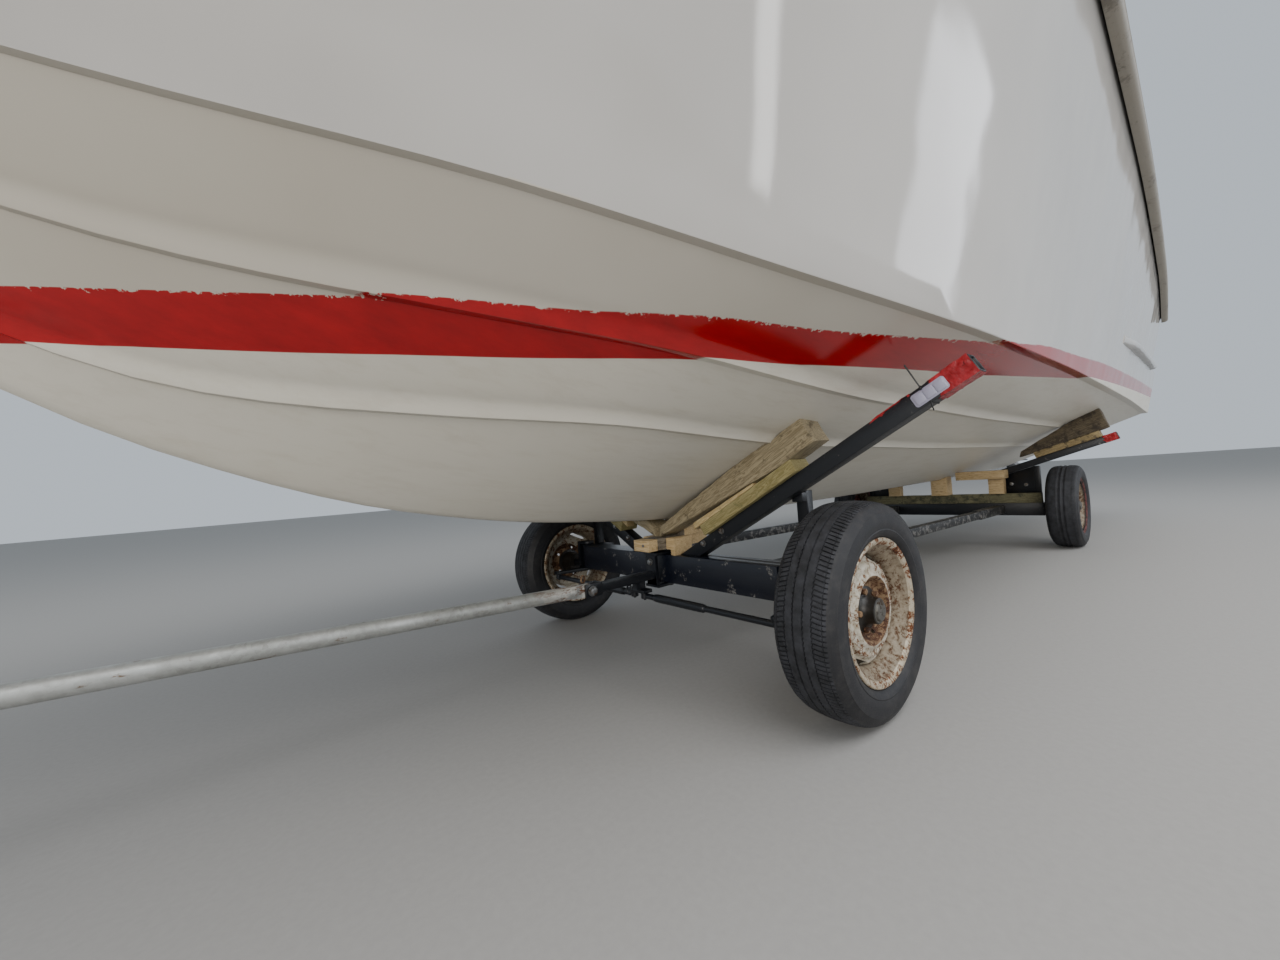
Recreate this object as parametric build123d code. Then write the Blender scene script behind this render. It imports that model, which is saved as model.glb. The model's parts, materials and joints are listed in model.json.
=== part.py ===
from build123d import *
import os
from math import cos, hypot, radians, sin

os.makedirs("parts", exist_ok=True)

# A sports day cruiser standing on its four wheel yard trolley. Millimetres, +X to the bow,
# +Y to port, +Z up, floor at Z = 0. Every x in the tables and names below is measured from
# the trolley's front axle; the origin of the part is the middle of its box on the floor.

# Boat, overall
platform_end_x = -5200
transom_x = -4620
platform_z = 1370
sole_z = 1300
cabin_sole_z = 1420
bulkhead_x = 150
bulkhead_thickness = 40
cockpit_end_x = -3250

# Hull lines at the mould's stations: x, keel z, chine half breadth, chine z, chine flat width,
# sheer half breadth, sheer z
hull_table = [
    (-5200, 570, 1142, 1010, 42, 1272, 1730),
    (-3300, 540, 1146, 1045, 40, 1338, 1930),
    (-1500, 530, 1145, 1050, 36, 1356, 2015),
    (-300, 540, 1133, 1040, 30, 1355, 2030),
    (500, 594, 1010, 1093, 24, 1330, 2045),
    (1000, 680, 813, 1205, 20, 1262, 2065),
    (1500, 865, 530, 1342, 17, 1125, 2095),
    (2000, 1210, 255, 1505, 12, 905, 2140),
    (2500, 1625, 75, 1710, 5, 600, 2190),
    (2950, 2020, 22, 2050, 2, 275, 2232),
    (3210, 2236, 6, 2242, 1, 40, 2256),
]
# Where the solid's own sections stand, closer together where the lines bend
section_places = [-5200, -4200, -3300, -2400, -1500, -900, -300, 100, 500, 750, 1000, 1250,
                  1500, 1750, 2000, 2250, 2500, 2750, 2950, 3210]

# Strakes under the bottom: x, inner strake outer edge y, outer strake outer edge y
strake_table = [
    (-5200, 530, 780),
    (-3300, 545, 795),
    (-1500, 565, 812),
    (-300, 600, 845),
    (500, 552, 790),
    (1000, 372, 610),
    (1500, 165, 365),
]
strake_underside = 22
strake_fair_length = 42
strake_bite = 4

# Side ledge near the stern: x, z of its middle
ledge_table = [(-2500, 1325), (-3300, 1345), (-4620, 1370)]
ledge_height = 46
ledge_stand = 38

# Rubbing strake round the sheer
rail_height = 62
rail_stand = 34
rail_drop = 8

# Windscreen: outline on the deck and at the top rail, (x, y, z), port half, centre first
screen_base = [(1120, 430, 2336), (700, 930, 2246), (-700, 1140, 2096)]
screen_top = [(600, 390, 2690), (300, 830, 2650), (-800, 1030, 2500)]
screen_bar = 26
screen_glass = 6

# Drive
drive_x = platform_end_x
drive_shield_half = 210
steer_axis_x = drive_x - 150
tilt_axis_z = 930
prop_z = 430
prop_x = drive_x - 560
leg_end_x = drive_x - 640

# Trolley
front_axle_z = 311
rear_axle_x = -3333
rear_axle_z = 303
front_track = 1607
rear_track = 1600
tyre_width = 182
rim_inset = 20
rim_slots = 4
rim_slot_radii = (139, 154)
rim_slot_width = 104
front_tyre_radius = 311
rear_tyre_radius = 303
rim_flange_radius = 206
hub_radius = 62

beam_x0 = -55
beam_x1 = 45
beam_z0 = 301
beam_z1 = 416
beam_half = 572
rear_beam_x0 = rear_axle_x - 50
rear_beam_x1 = rear_axle_x + 50
rear_beam_z0 = 233
rear_beam_z1 = 332
rear_beam_half = 672
side_rail_y = 400
side_rail_size = 52
side_rail_front_z = 358
side_rail_rear_z = 283

arm_size = 50
front_arm_slope = 28.2
front_arm_foot_y = 205
front_arm_tip_y = 1150
rear_arm_slope = 18.3
rear_arm_foot_y = 360
rear_arm_foot_z = 530
rear_arm_tip_y = 1095

yaw_x = -5
kingpin_y = 620
steer_arm_x = 165
tie_rod_z = 272
tie_rod_inner_y = 32
bar_hinge_x = 406
bar_hinge_z = 340
bar_rise = 3.0
bar_length = 2200
bar_radius = 24
eye_outer = 46
eye_bore = 21

# Boat, details
high_z = 3000
wide = 1600
cockpit_half = 1080
cockpit_lean = 90
engine_bay_x0 = -4500
engine_bay_x1 = -3310
engine_bay_half = 560
engine_bay_z = 900
cabin_half = 560
crown_share = 0.45
cabin_end_x = 1350
cabin_ceiling_z = 2165
berth_end_x = 1920
berth_half = 245
berth_z = 1610
door_y0 = -90
door_y1 = 430
door_z0 = 1440
door_z1 = 2005
door_gap = 7
door_thickness = 28
door_x0 = 152
door_hinge_z = (1560, 1880)
hinge_x = bulkhead_x - 7.5
hinge_y = door_y1 - 3
hinge_rod = 4
barrel_radius = 7
barrel_half = 24
# Deck lines: x, shoulder half breadth, shoulder height, crown height over the sheer
deck_table = [
    (-5200, 1040, 48, 52),
    (-3300, 1110, 52, 58),
    (-1500, 1120, 56, 80),
    (-300, 1120, 70, 150),
    (500, 1060, 165, 262),
    (1000, 950, 175, 262),
    (1500, 790, 155, 228),
    (2000, 590, 122, 180),
    (2500, 370, 82, 125),
    (2950, 150, 40, 68),
    (3210, 22, 16, 22),
]
deck_edge = 30
deck_joint = 12
deck_edge_inset = 10
seat_gap = 0.3
lid_lap = 24
forehatch_line = [(1440, 2348), (1960, 2334)]
forehatch_half = 236
forehatch_thickness = 30
engine_hatch_line = [(-4524, 1882), (-3286, 2002)]
hatch_thickness = 40
hatch_hinge_stand = 7.5
hatch_hinge_play = 0.2
hatch_leaf = 12
engine_hinge_y = 380
forehatch_hinge_y = 150
rim_depth = 40
ledge_start = 3
ledge_root = 20
platform_margin = 30
platform_thick = 22
console_y0 = -960
console_y1 = -340
console_z0 = 1620
wheel_tilt = 24
wheel_centre = (-330, -640, 2010)
wheel_radius = 178
wheel_grip = 15
seat_x = -820
seat_y = 620
seat_z = 1640
seat_half = 250
seat_round = 34
cushion_round = 24
console_round = 30
bench_depth = 560
bench_z = 1580
sunpad_thickness = 90
sunpad_margin = 22
rail_feet = [600, 1300, 2000, 2700]
rail_lift = [60, 330, 360, 380]
bow_rail_tip_x = 3080
rail_tube = 12.5
cleat_places = [-4300, -1900, 2500]
cleat_inset = 130
bow_eye_x = 2300
bow_eye_z = 1400
bow_eye_bore = 13
gimbal_pin = 15
gimbal_gap = 6
ring_half = 140
ring_half_height = 107
ring_half_depth = 45
ring_wall = 30
ring_beam = 40
pin_reach = 148
pin_inner = 50
boss_half = 104
tilt_boss = 30
running_gap = 0.05
tilt_x = steer_axis_x - 85
tilt_pin = 14
leg_back_x = tilt_x - 250
plate_z = 640
prop_shaft = 14
prop_hub = 46
# Propeller blade: radius, chord, thickness and pitch angle of each section
blade_table = [(36, 80, 15, 60), (85, 118, 12, 42), (135, 120, 8, 31), (182, 46, 4, 25)]
leg_round = 26
leg_half = 72
strut_half_chord = 105
torpedo_nose_length = 110
torpedo_radius = 52
ladder_x = platform_end_x - 8
ladder_y = 720
ladder_z = platform_z + platform_thick + 22
ladder_length = 540
ladder_half = 150
ladder_ear_gap = 24
ladder_ear = 12
ladder_pin = 8

# Trolley, details
kingpin_boss = 27
kingpin_radius = 12
yaw_pin = 14
stub_radius = 18
stub_reach = 34
sleeve_length = 620
sleeve_wall = 5
arm_wall = 4
arm_mouth = 420
rear_arm_x = rear_axle_x - 22
post_size = 38
post_y = 618
rear_post_y = 632
front_timber = (262, 668, 43)
timber_x0 = -52
timber_x1 = 43
# Pads: low end y, low end z, y where the underside meets the timber, tip y, depth
front_pad = (12, 488, 600, 736, 100)
rear_pad = (540, 690, 840, 1050, 170)
pad_x0 = -50
pad_x1 = 48
rear_timber = (640, 1010, 45)
keel_block_x = (-200, 138)
packer_height = 24
timber_height = 45
rear_plank_x0 = rear_axle_x + 8
rear_plank_x1 = rear_axle_x + 53
rear_plank_z1 = 408
rear_plank_half = 662
web_x = 82
web_thickness = 14
web_half = 30
plate_gap = 2.5
plate_half = 40
plate_thickness = 10
stub_half = 22
cheek_x0 = 366
cheek_gap = 15.5
cheek_thickness = 9
flat_thickness = 30
hinge_pin = 9
rod_pin = 6
outer_rod_pin = 6
open_pin_gap = 2
rod_eye = 15
tie_rod_radius = 11
knuckle_reach = 40
knuckle_plate = 14

# The middle of the whole box lies on the origin
leg_reach = -leg_end_x
rail_reach = hull_table[-1][0] + rail_stand
axle_x = (leg_reach - rail_reach) / 2


def save(shape, name):
    # A single solid in its own file, or several that do not touch
    export_step(Pos(axle_x, 0, 0) * shape, "parts/" + name + ".step")


def box(x0, x1, y0, y1, z0, z1):
    # A block between two corners
    size = (abs(x1 - x0), abs(y1 - y0), abs(z1 - z0))
    return Pos((x0 + x1) / 2, (y0 + y1) / 2, (z0 + z1) / 2) * Box(*size)


def prism_x(points, x0, x1):
    # A (y, z) outline drawn out along X
    face = Face(Wire.make_polygon([(x0, y, z) for y, z in points], close=True))
    return extrude(face, amount=x1 - x0, dir=(1, 0, 0))


def prism_y(points, y0, y1):
    # An (x, z) outline drawn out along Y
    face = Face(Wire.make_polygon([(x, y0, z) for x, z in points], close=True))
    return extrude(face, amount=y1 - y0, dir=(0, 1, 0))


def prism_z(points, z0, z1):
    # An (x, y) outline drawn out along Z
    face = Face(Wire.make_polygon([(x, y, z0) for x, y in points], close=True))
    return extrude(face, amount=z1 - z0, dir=(0, 0, 1))


def rod(p, q, radius):
    # A round bar from one point to another
    p = Vector(*p)
    q = Vector(*q)
    plane = Plane(origin=p, z_dir=(q - p).normalized())
    return extrude(plane * Circle(radius), amount=(q - p).length)


def bar(p, q, width, height):
    # A rectangular bar from one point to another, its height towards +Z
    p = Vector(*p)
    q = Vector(*q)
    along = (q - p).normalized()
    side = along.cross(Vector(0, 0, 1)).normalized()
    plane = Plane(origin=p, x_dir=side, z_dir=along)
    return extrude(plane * Rectangle(width, height), amount=(q - p).length)


def mirrored(shape):
    return mirror(shape, about=Plane.XZ)


def both_sides(shape):
    return shape + mirrored(shape)


def loft_sections(rows):
    # A ruled loft through closed (y, z) outlines, each at its own x
    faces = []
    for x, outline in rows:
        faces.append(Face(Wire.make_polygon([(x, y, z) for y, z in outline], close=True)))
    return loft(faces, ruled=True)


def slope_at(table, index, column):
    # The fair slope of a line at a station: level past a hump, a weighted mean elsewhere
    if index == 0 or index == len(table) - 1:
        first, second = table[:2] if index == 0 else table[-2:]
        return (second[column] - first[column]) / (second[0] - first[0])
    before = slope_at(table[index - 1:index + 1], 0, column)
    after = slope_at(table[index:index + 2], 0, column)
    if before * after <= 0:
        return 0
    near = table[index][0] - table[index - 1][0]
    far = table[index + 1][0] - table[index][0]
    return 3 * (near + far) / ((2 * far + near) / before + (far + 2 * near) / after)


def between(table, x, column):
    # A line's height or half breadth at x, on a fair curve through its stations
    index = 0
    while index < len(table) - 2 and x > table[index + 1][0]:
        index += 1
    length = table[index + 1][0] - table[index][0]
    t = (x - table[index][0]) / length
    start, end = table[index][column], table[index + 1][column]
    lift = slope_at(table, index, column) * length
    land = slope_at(table, index + 1, column) * length
    rise = (1 + 2 * t) * (1 - t) ** 2 * start + t * (1 - t) ** 2 * lift
    return rise + t * t * (3 - 2 * t) * end + t * t * (t - 1) * land


def row_at(table, x):
    # Every line of a table at x
    return (x,) + tuple(between(table, x, column) for column in range(1, len(table[0])))


def bottom_z(row, y):
    # Height of the bottom panel at half breadth y in one hull section
    keel_z, chine_y, chine_z, flat = row[1:5]
    return keel_z + (chine_z - keel_z) * y / (chine_y - flat)


def hull_outline(row, place):
    # One closed section: bottom, chine, topside, deck edge, shoulder and crown
    keel_z, chine_y, chine_z, flat, sheer_y, sheer_z = row[1:]
    shoulder_y, shoulder, crown = place[1:]
    port = [
        (chine_y - flat, chine_z),
        (chine_y, chine_z),
        (sheer_y, sheer_z),
        (sheer_y - deck_edge_inset, sheer_z + deck_edge),
        (shoulder_y, sheer_z + shoulder),
        (shoulder_y * crown_share, sheer_z + crown),
    ]
    starboard = [(-y, z) for y, z in reversed(port)]
    return [(0, keel_z)] + port + starboard


def strake(column):
    # A spray strake: flat underside, steep outer face fairing into the panel
    sections = []
    last = strake_table[-1][0]
    for x in [place for place in section_places if place <= last]:
        row = row_at(hull_table, x)
        y = between(strake_table, x, column)
        keel_z, chine_y, chine_z, flat = row[1:5]
        slope = (chine_z - keel_z) / (chine_y - flat)
        along = hypot(1, slope)
        under = bottom_z(row, y - strake_underside)
        top_y = y + strake_fair_length / along
        top_z = bottom_z(row, top_y)
        bite_y = -strake_bite * slope / along
        bite_z = strake_bite / along
        outline = [
            (y, under),
            (top_y, top_z),
            (top_y + bite_y, top_z + bite_z),
            (y - strake_underside + bite_y, under + bite_z),
            (y - strake_underside, under),
        ]
        sections.append((x, outline))
    return loft_sections(sections)


def side_y(x, z):
    # Half breadth of the topside at a height
    chine_y = between(hull_table, x, 2)
    chine_z = between(hull_table, x, 3)
    sheer_y = between(hull_table, x, 5)
    sheer_z = between(hull_table, x, 6)
    return chine_y + (sheer_y - chine_y) * (z - chine_z) / (sheer_z - chine_z)


def boat_core():
    # Hull and deck as one solid, before they are parted and opened
    sections = []
    for x in section_places:
        sections.append((x, hull_outline(row_at(hull_table, x), row_at(deck_table, x))))
    return loft_sections(sections)


def over_joint():
    # Everything over the line where the deck moulding sits on the hull moulding
    line = [(x, between(hull_table, x, 6) + deck_joint) for x in section_places]
    first = (line[0][0] - 50, line[0][1])
    last = (line[-1][0] + 100, line[-1][1])
    outline = [first] + line + [last, (last[0], high_z), (first[0], high_z)]
    return prism_y(outline, -wide, wide)


def ledge():
    # A rounded moulded ledge along the after topside, growing from nothing
    sections = []
    half = ledge_height / 2
    for x, middle in ledge_table:
        y = side_y(x, middle)
        stand = ledge_start if x == ledge_table[0][0] else ledge_stand
        outline = [
            (y - ledge_root, middle - half),
            (y + stand, middle - half / 2),
            (y + stand, middle + half / 2),
            (y - ledge_root, middle + half),
        ]
        sections.append((x, outline))
    return loft_sections(sections)


def hull(core):
    body = core - over_joint()
    body -= platform_space()
    body -= cockpit_space()
    body -= engine_bay()
    body -= cabin_space()
    body -= door_hole()
    return body + strakes() + both_sides(ledge())


def strakes():
    return both_sides(strake(1)) + both_sides(strake(2))


def platform_space():
    # All that is over the bathing platform, abaft the transom
    return box(platform_end_x - 60, transom_x, -wide, wide, platform_z, high_z)


def cockpit_space():
    # The open cockpit down to its sole, wider at the coaming
    half = cockpit_half
    low = cockpit_half - cockpit_lean
    outline = [(low, sole_z), (half, high_z), (-half, high_z), (-low, sole_z)]
    return prism_x(outline, cockpit_end_x, bulkhead_x)


def engine_bay():
    half = engine_bay_half
    return box(engine_bay_x0, engine_bay_x1, -half, half, engine_bay_z, high_z)


def cabin_space():
    # The cuddy under the foredeck, with its narrow berth end
    x0 = bulkhead_x + bulkhead_thickness
    z1 = cabin_ceiling_z
    aft = box(x0, cabin_end_x, -cabin_half, cabin_half, cabin_sole_z, z1)
    fore = box(cabin_end_x - 1, berth_end_x, -berth_half, berth_half, berth_z, z1)
    return aft + fore


def door_hole():
    x1 = bulkhead_x + bulkhead_thickness + 1
    return box(bulkhead_x - 1, x1, door_y0, door_y1, door_z0, door_z1)


def deck(core):
    body = core & over_joint()
    body -= platform_space()
    body += hatch_rim(engine_hatch_line, engine_bay_half)
    body += hatch_rim(forehatch_line, forehatch_half)
    body -= cockpit_space()
    body -= engine_bay()
    body -= cabin_space()
    body -= forehatch_hole()
    return body


def hatch_rim(line, half):
    # A flat-topped block round a hatch opening: line is (x, z) of its top at both ends
    (x0, z0), (x1, z1) = line
    outline = [(x0, z0 - rim_depth), (x1, z1 - rim_depth), (x1, z1), (x0, z0)]
    return prism_y(outline, -half - lid_lap, half + lid_lap)


def flat_lid(line, half, low, high):
    # A flat panel between two heights over a hatch's line
    (x0, z0), (x1, z1) = line
    outline = [(x0, z0 + low), (x1, z1 + low), (x1, z1 + high), (x0, z0 + high)]
    return prism_y(outline, -half, half)


def forehatch_hole():
    x0 = forehatch_line[0][0] + lid_lap
    x1 = forehatch_line[1][0] - lid_lap
    return box(x0, x1, -forehatch_half, forehatch_half, cabin_ceiling_z - 1, high_z)


def forehatch_lid():
    body = flat_lid(forehatch_line, forehatch_half + lid_lap, seat_gap, forehatch_thickness)
    return body + both_sides(lid_barrel(forehatch_line[1], 1, forehatch_hinge_y))


def engine_hatch():
    body = flat_lid(engine_hatch_line, engine_bay_half + lid_lap, seat_gap, hatch_thickness)
    return body + both_sides(lid_barrel(engine_hatch_line[0], -1, engine_hinge_y))


def cross_rod(x, z, y0, y1, radius):
    return rod((x, y0, z), (x, y1, z), radius)


def hatch_axis(edge, outward):
    # The hinge line of a hatch: just outside the joint between its lid and its rim
    return edge[0] + outward * hatch_hinge_stand, edge[1] + seat_gap / 2


def lid_barrel(edge, outward, y):
    # The middle barrel of a butt hinge on the lid's end face
    x, z = hatch_axis(edge, outward)
    y0, y1 = y - barrel_half, y + barrel_half
    body = cross_rod(x, z, y0, y1, barrel_radius)
    body += box(x, edge[0] - outward, y0, y1, z, z + hatch_leaf)
    return body - cross_rod(x, z, y0 - 1, y1 + 1, hinge_rod + hatch_hinge_play)


def rim_barrels(edge, outward, y):
    # The pin and the outer barrels, on a leaf on the rim's end face
    x, z = hatch_axis(edge, outward)
    low = barrel_half + seat_gap
    high = low + barrel_half
    body = cross_rod(x, z, y - high, y + high, hinge_rod)
    for y0, y1 in ((y - high, y - low), (y + low, y + high)):
        body += cross_rod(x, z, y0, y1, barrel_radius)
        body += box(x, edge[0], y0, y1, z - hatch_leaf, z - seat_gap / 2)
    return both_sides(body)


def hatch_hinges():
    aft = rim_barrels(engine_hatch_line[0], -1, engine_hinge_y)
    return aft + rim_barrels(forehatch_line[1], 1, forehatch_hinge_y)


def rubbing_strake(core):
    # A ring round the sheer: a wide plate less the hull inside it
    sections = []
    for x in section_places:
        sheer = between(hull_table, x, 6)
        y = between(hull_table, x, 5) + rail_stand
        z1 = sheer - rail_drop
        z0 = z1 - rail_height
        sections.append((x, [(y, z0), (y, z1), (-y, z1), (-y, z0)]))
    plate = loft_sections(sections)
    x0 = hull_table[-1][0]
    nose = hull_table[-1][5] + rail_stand
    z1 = hull_table[-1][6] - rail_drop
    outline = [(x0, -nose), (x0 + rail_stand, -nose / 2), (x0 + rail_stand, nose / 2), (x0, nose)]
    plate += prism_z(outline, z1 - rail_height, z1)
    return plate - platform_space() - core


def platform_boards():
    half = between(hull_table, platform_end_x, 2) - platform_margin
    z0 = platform_z
    return box(platform_end_x, transom_x - 30, -half, half, z0, z0 + platform_thick)


def screen_points():
    port_base = screen_base
    port_top = screen_top
    base = [(x, -y, z) for x, y, z in reversed(port_base)] + list(port_base)
    top = [(x, -y, z) for x, y, z in reversed(port_top)] + list(port_top)
    return base, top


def windscreen_frame(outer):
    base, top = screen_points()
    w = screen_bar
    body = rod(base[0], top[0], w / 2)
    for index in range(1, len(base)):
        body += rod(base[index], top[index], w / 2)
        body += rod(top[index - 1], top[index], w / 2)
        body += rod(base[index - 1], base[index], w / 2)
    for point in base + top:
        body += Pos(*point) * Sphere(w / 2)
    return body - outer


def windscreen_glass():
    base, top = screen_points()
    panes = []
    for index in range(1, len(base)):
        a, b = Vector(*base[index - 1]), Vector(*base[index])
        d, c = Vector(*top[index - 1]), Vector(*top[index])
        normal = (c - a).cross(d - b).normalized()
        corners = []
        middle = (a + b + c + d) * 0.25
        ring = (a, b, c, d)
        inset = screen_bar / 2 + seat_gap
        for place, corner in enumerate(ring):
            ahead = (ring[(place + 1) % 4] - corner).normalized()
            behind = (ring[place - 1] - corner).normalized()
            spread = ahead.cross(behind).length
            corners.append(corner + (ahead + behind) * (inset / spread))
        flat = [p - normal * normal.dot(p - middle) for p in corners]
        start = [p - normal * (screen_glass / 2) for p in flat]
        face = Face(Wire.make_polygon([tuple(p) for p in start], close=True))
        panes.append(extrude(face, amount=screen_glass, dir=tuple(normal)))
    result = panes[0]
    for pane in panes[1:]:
        result += pane
    return result


def cabin_door():
    # A flat smoked door with the middle barrels of its two hinges
    gap = door_gap
    y0, y1 = door_y0 + gap, door_y1 - gap
    z0, z1 = door_z0 + gap, door_z1 - gap
    body = box(door_x0, door_x0 + door_thickness, y0, y1, z0, z1)
    for z in door_hinge_z:
        body += barrel(z - barrel_half, z + barrel_half)
        body += box(hinge_x, door_x0, y1 - 26, y1, z - barrel_half, z + barrel_half)
        body += box(hinge_x, door_x0, y1 - 1, hinge_y, z - barrel_half, z + barrel_half)
        body -= rod((hinge_x, hinge_y, z - 50), (hinge_x, hinge_y, z + 50), hinge_rod + running_gap)
    return body


def barrel(z0, z1):
    return rod((hinge_x, hinge_y, z0), (hinge_x, hinge_y, z1), barrel_radius)


def door_hinges():
    # The fixed barrels and pins, on leaves that lie on the bulkhead
    body = None
    for z in door_hinge_z:
        low = barrel_half + seat_gap
        high = low + barrel_half
        hinge = rod((hinge_x, hinge_y, z - high), (hinge_x, hinge_y, z + high), hinge_rod)
        for z0, z1 in ((z - high, z - low), (z + low, z + high)):
            hinge += barrel(z0, z1)
            hinge += box(hinge_x, bulkhead_x, hinge_y, hinge_y + 34, z0, z1)
        body = hinge if body is None else body + hinge
    return body


def helm_console():
    # The dash on the starboard side of the bulkhead, sloping to the driver
    x1 = bulkhead_x
    outline = [
        (x1, console_z0),
        (x1 - 180, console_z0),
        (x1 - 300, console_z0 + 330),
        (x1 - 180, console_z0 + 560),
        (x1, console_z0 + 620),
    ]
    body = prism_y(outline, console_y0, console_y1)
    free = body.edges().filter_by(Axis.Y).sort_by(Axis.X)[:-2]
    return fillet(free, console_round)


def steering_axis():
    tilt = radians(wheel_tilt)
    return Vector(cos(tilt), 0, -sin(tilt))


def steering_wheel():
    axis = steering_axis()
    centre = Vector(*wheel_centre)
    plane = Plane(origin=centre, x_dir=(0, 1, 0), z_dir=axis)
    rim = plane * Torus(wheel_radius, wheel_grip)
    hub = plane * Cylinder(38, 24)
    body = rim + hub
    for turn in (90, 210, 330):
        arm = Rot(0, 0, turn) * Pos(wheel_radius / 2, 0, 0)
        body += plane * arm * Box(wheel_radius, 30, 10)
    return body


def steering_column():
    axis = steering_axis()
    centre = Vector(*wheel_centre)
    start = centre + axis * 12.3
    end = centre + axis * 260
    return rod(tuple(start), tuple(end), 22)


def seat(y):
    # A helm bucket: squab and backrest in one plain padded form
    x = seat_x
    z = seat_z
    outline = [
        (x - 250, z),
        (x + 250, z),
        (x + 250, z + 110),
        (x - 120, z + 130),
        (x - 200, z + 560),
        (x - 320, z + 560),
        (x - 280, z + 60),
    ]
    body = prism_y(outline, y - seat_half, y + seat_half)
    return softened(body, seat_round)


def softened(body, radius):
    # A padded form's rounded rolls along Y, its side seams left crisp
    foot = body.bounding_box().min.Z
    free = [edge for edge in body.edges().filter_by(Axis.Y) if edge.center().Z > foot + 1]
    return fillet(free, radius)


def seat_pedestal(y):
    foot = Pos(seat_x, y, sole_z + 8) * Cylinder(150, 16)
    post = rod((seat_x, y, sole_z), (seat_x, y, seat_z), 38)
    return foot + post


def bench_base():
    x0 = cockpit_end_x
    half = cockpit_half - cockpit_lean - 15
    return box(x0, x0 + bench_depth, -half, half, sole_z, bench_z)


def bench_cushion():
    # The after sofa's seat and back, along the cockpit's after end
    x0 = cockpit_end_x
    half = cockpit_half - cockpit_lean - 20
    outline = [
        (x0 + 2, bench_z),
        (x0 + bench_depth, bench_z),
        (x0 + bench_depth, bench_z + 110),
        (x0 + 190, bench_z + 120),
        (x0 + 110, bench_z + 420),
        (x0 + 2, bench_z + 420),
    ]
    body = prism_y(outline, -half, half)
    return softened(body, cushion_round)


def sunpad():
    (x0, z0), (x1, z1) = engine_hatch_line
    slope = (z1 - z0) / (x1 - x0)
    line = [(x0 + sunpad_margin, z0 + sunpad_margin * slope),
            (x1 - sunpad_margin, z1 - sunpad_margin * slope)]
    low = hatch_thickness + seat_gap
    body = flat_lid(line, engine_bay_half - 10, low, low + sunpad_thickness)
    return fillet(body.faces().sort_by(Axis.Z)[-1].edges(), cushion_round)


def engine_block():
    x0 = engine_bay_x0 + 60
    x1 = x0 + 760
    return box(x0, x1, -310, 310, engine_bay_z, engine_bay_z + 620)


def bow_rail():
    feet = [(x, between(hull_table, x, 5) - 70, between(hull_table, x, 6)) for x in rail_feet]
    top = []
    for index, (x, y, z) in enumerate(feet):
        lean = 30 if index else 0
        top.append((x + lean, y, z + rail_lift[index]))
    tip = (bow_rail_tip_x, 0, top[-1][2] + 20)
    port = [(feet[0][0] - 160, feet[0][1], feet[0][2] - 30)] + top
    run = port + [tip] + [(x, -y, z) for x, y, z in reversed(port)]
    radii = [90] * (len(run) - 2)
    path = FilletPolyline(*run, radius=radii)
    start = Plane(origin=path @ 0, z_dir=path % 0)
    body = sweep(start * Circle(rail_tube), path=path)
    for (x, y, z), head in zip(feet[1:], top[1:]):
        body += both_sides(rod((x, y, z - 30), head, rail_tube * 0.9))
    return body


def cleat(x, y, z):
    horn = rod((x - 100, y, z + 48), (x + 100, y, z + 48), 10)
    body = horn + box(x - 45, x + 45, y - 20, y + 20, z - 20, z + 6)
    for post_x in (x - 30, x + 30):
        body += rod((post_x, y, z), (post_x, y, z + 48), 9)
    return body


def cleats():
    result = None
    for x in cleat_places:
        y = between(hull_table, x, 5) - cleat_inset
        z = between(hull_table, x, 6) + deck_edge + 20
        pair = both_sides(cleat(x, y, z))
        result = pair if result is None else result + pair
    return result


def bow_eye():
    # A stout ring plate through the stem
    centre = Pos(bow_eye_x, 0, bow_eye_z)
    ring = centre * Rot(90, 0, 0) * Cylinder(34, 22)
    hole = centre * Rot(90, 0, 0) * Cylinder(bow_eye_bore, 60)
    tail = bar((bow_eye_x, 0, bow_eye_z), (bow_eye_x - 90, 0, bow_eye_z + 60), 20, 40)
    return ring + tail - hole


def drive_shield():
    # The round-shouldered plate on the transom with the two arms that carry the ring
    x1 = platform_end_x
    half = drive_shield_half
    outline = [
        (-half, 760), (-half + 70, 690), (half - 70, 690), (half, 760),
        (half, 1130), (half - 70, 1210), (-half + 70, 1210), (-half, 1130),
    ]
    body = prism_x(outline, x1 - 36, x1)
    for z in (tilt_axis_z - 130, tilt_axis_z + 130):
        ear = box(steer_axis_x - 34, x1 - 30, -45, 45, z - 18, z + 18)
        body += ear
    body -= rod((steer_axis_x, 0, 600), (steer_axis_x, 0, 1300), gimbal_pin + running_gap)
    return body


def gimbal_ring():
    # The ring that steers on two upright pins and carries the leg on two level ones
    z0 = tilt_axis_z - ring_half_height
    z1 = tilt_axis_z + ring_half_height
    x = steer_axis_x
    body = box(x - ring_half_depth, x + ring_half_depth, -ring_half, ring_half, z0, z1)
    inner = ring_half - ring_wall
    body -= box(x - ring_half, x + ring_half, -inner, inner, z0 + ring_beam, z1 - ring_beam)
    body += rod((x, 0, tilt_axis_z - pin_reach), (x, 0, z0 + 10), gimbal_pin)
    body += rod((x, 0, z1 - 10), (x, 0, tilt_axis_z + pin_reach), gimbal_pin)
    for side in (-1, 1):
        arm_y0 = side * (boss_half + gimbal_gap)
        arm_y1 = side * ring_half
        low = tilt_axis_z - tilt_boss
        body += box(tilt_x - tilt_boss, x, arm_y0, arm_y1, low, tilt_axis_z + tilt_boss)
        end = (tilt_x, side * pin_inner, tilt_axis_z)
        body += rod((tilt_x, arm_y1, tilt_axis_z), end, tilt_pin)
    return body


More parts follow.
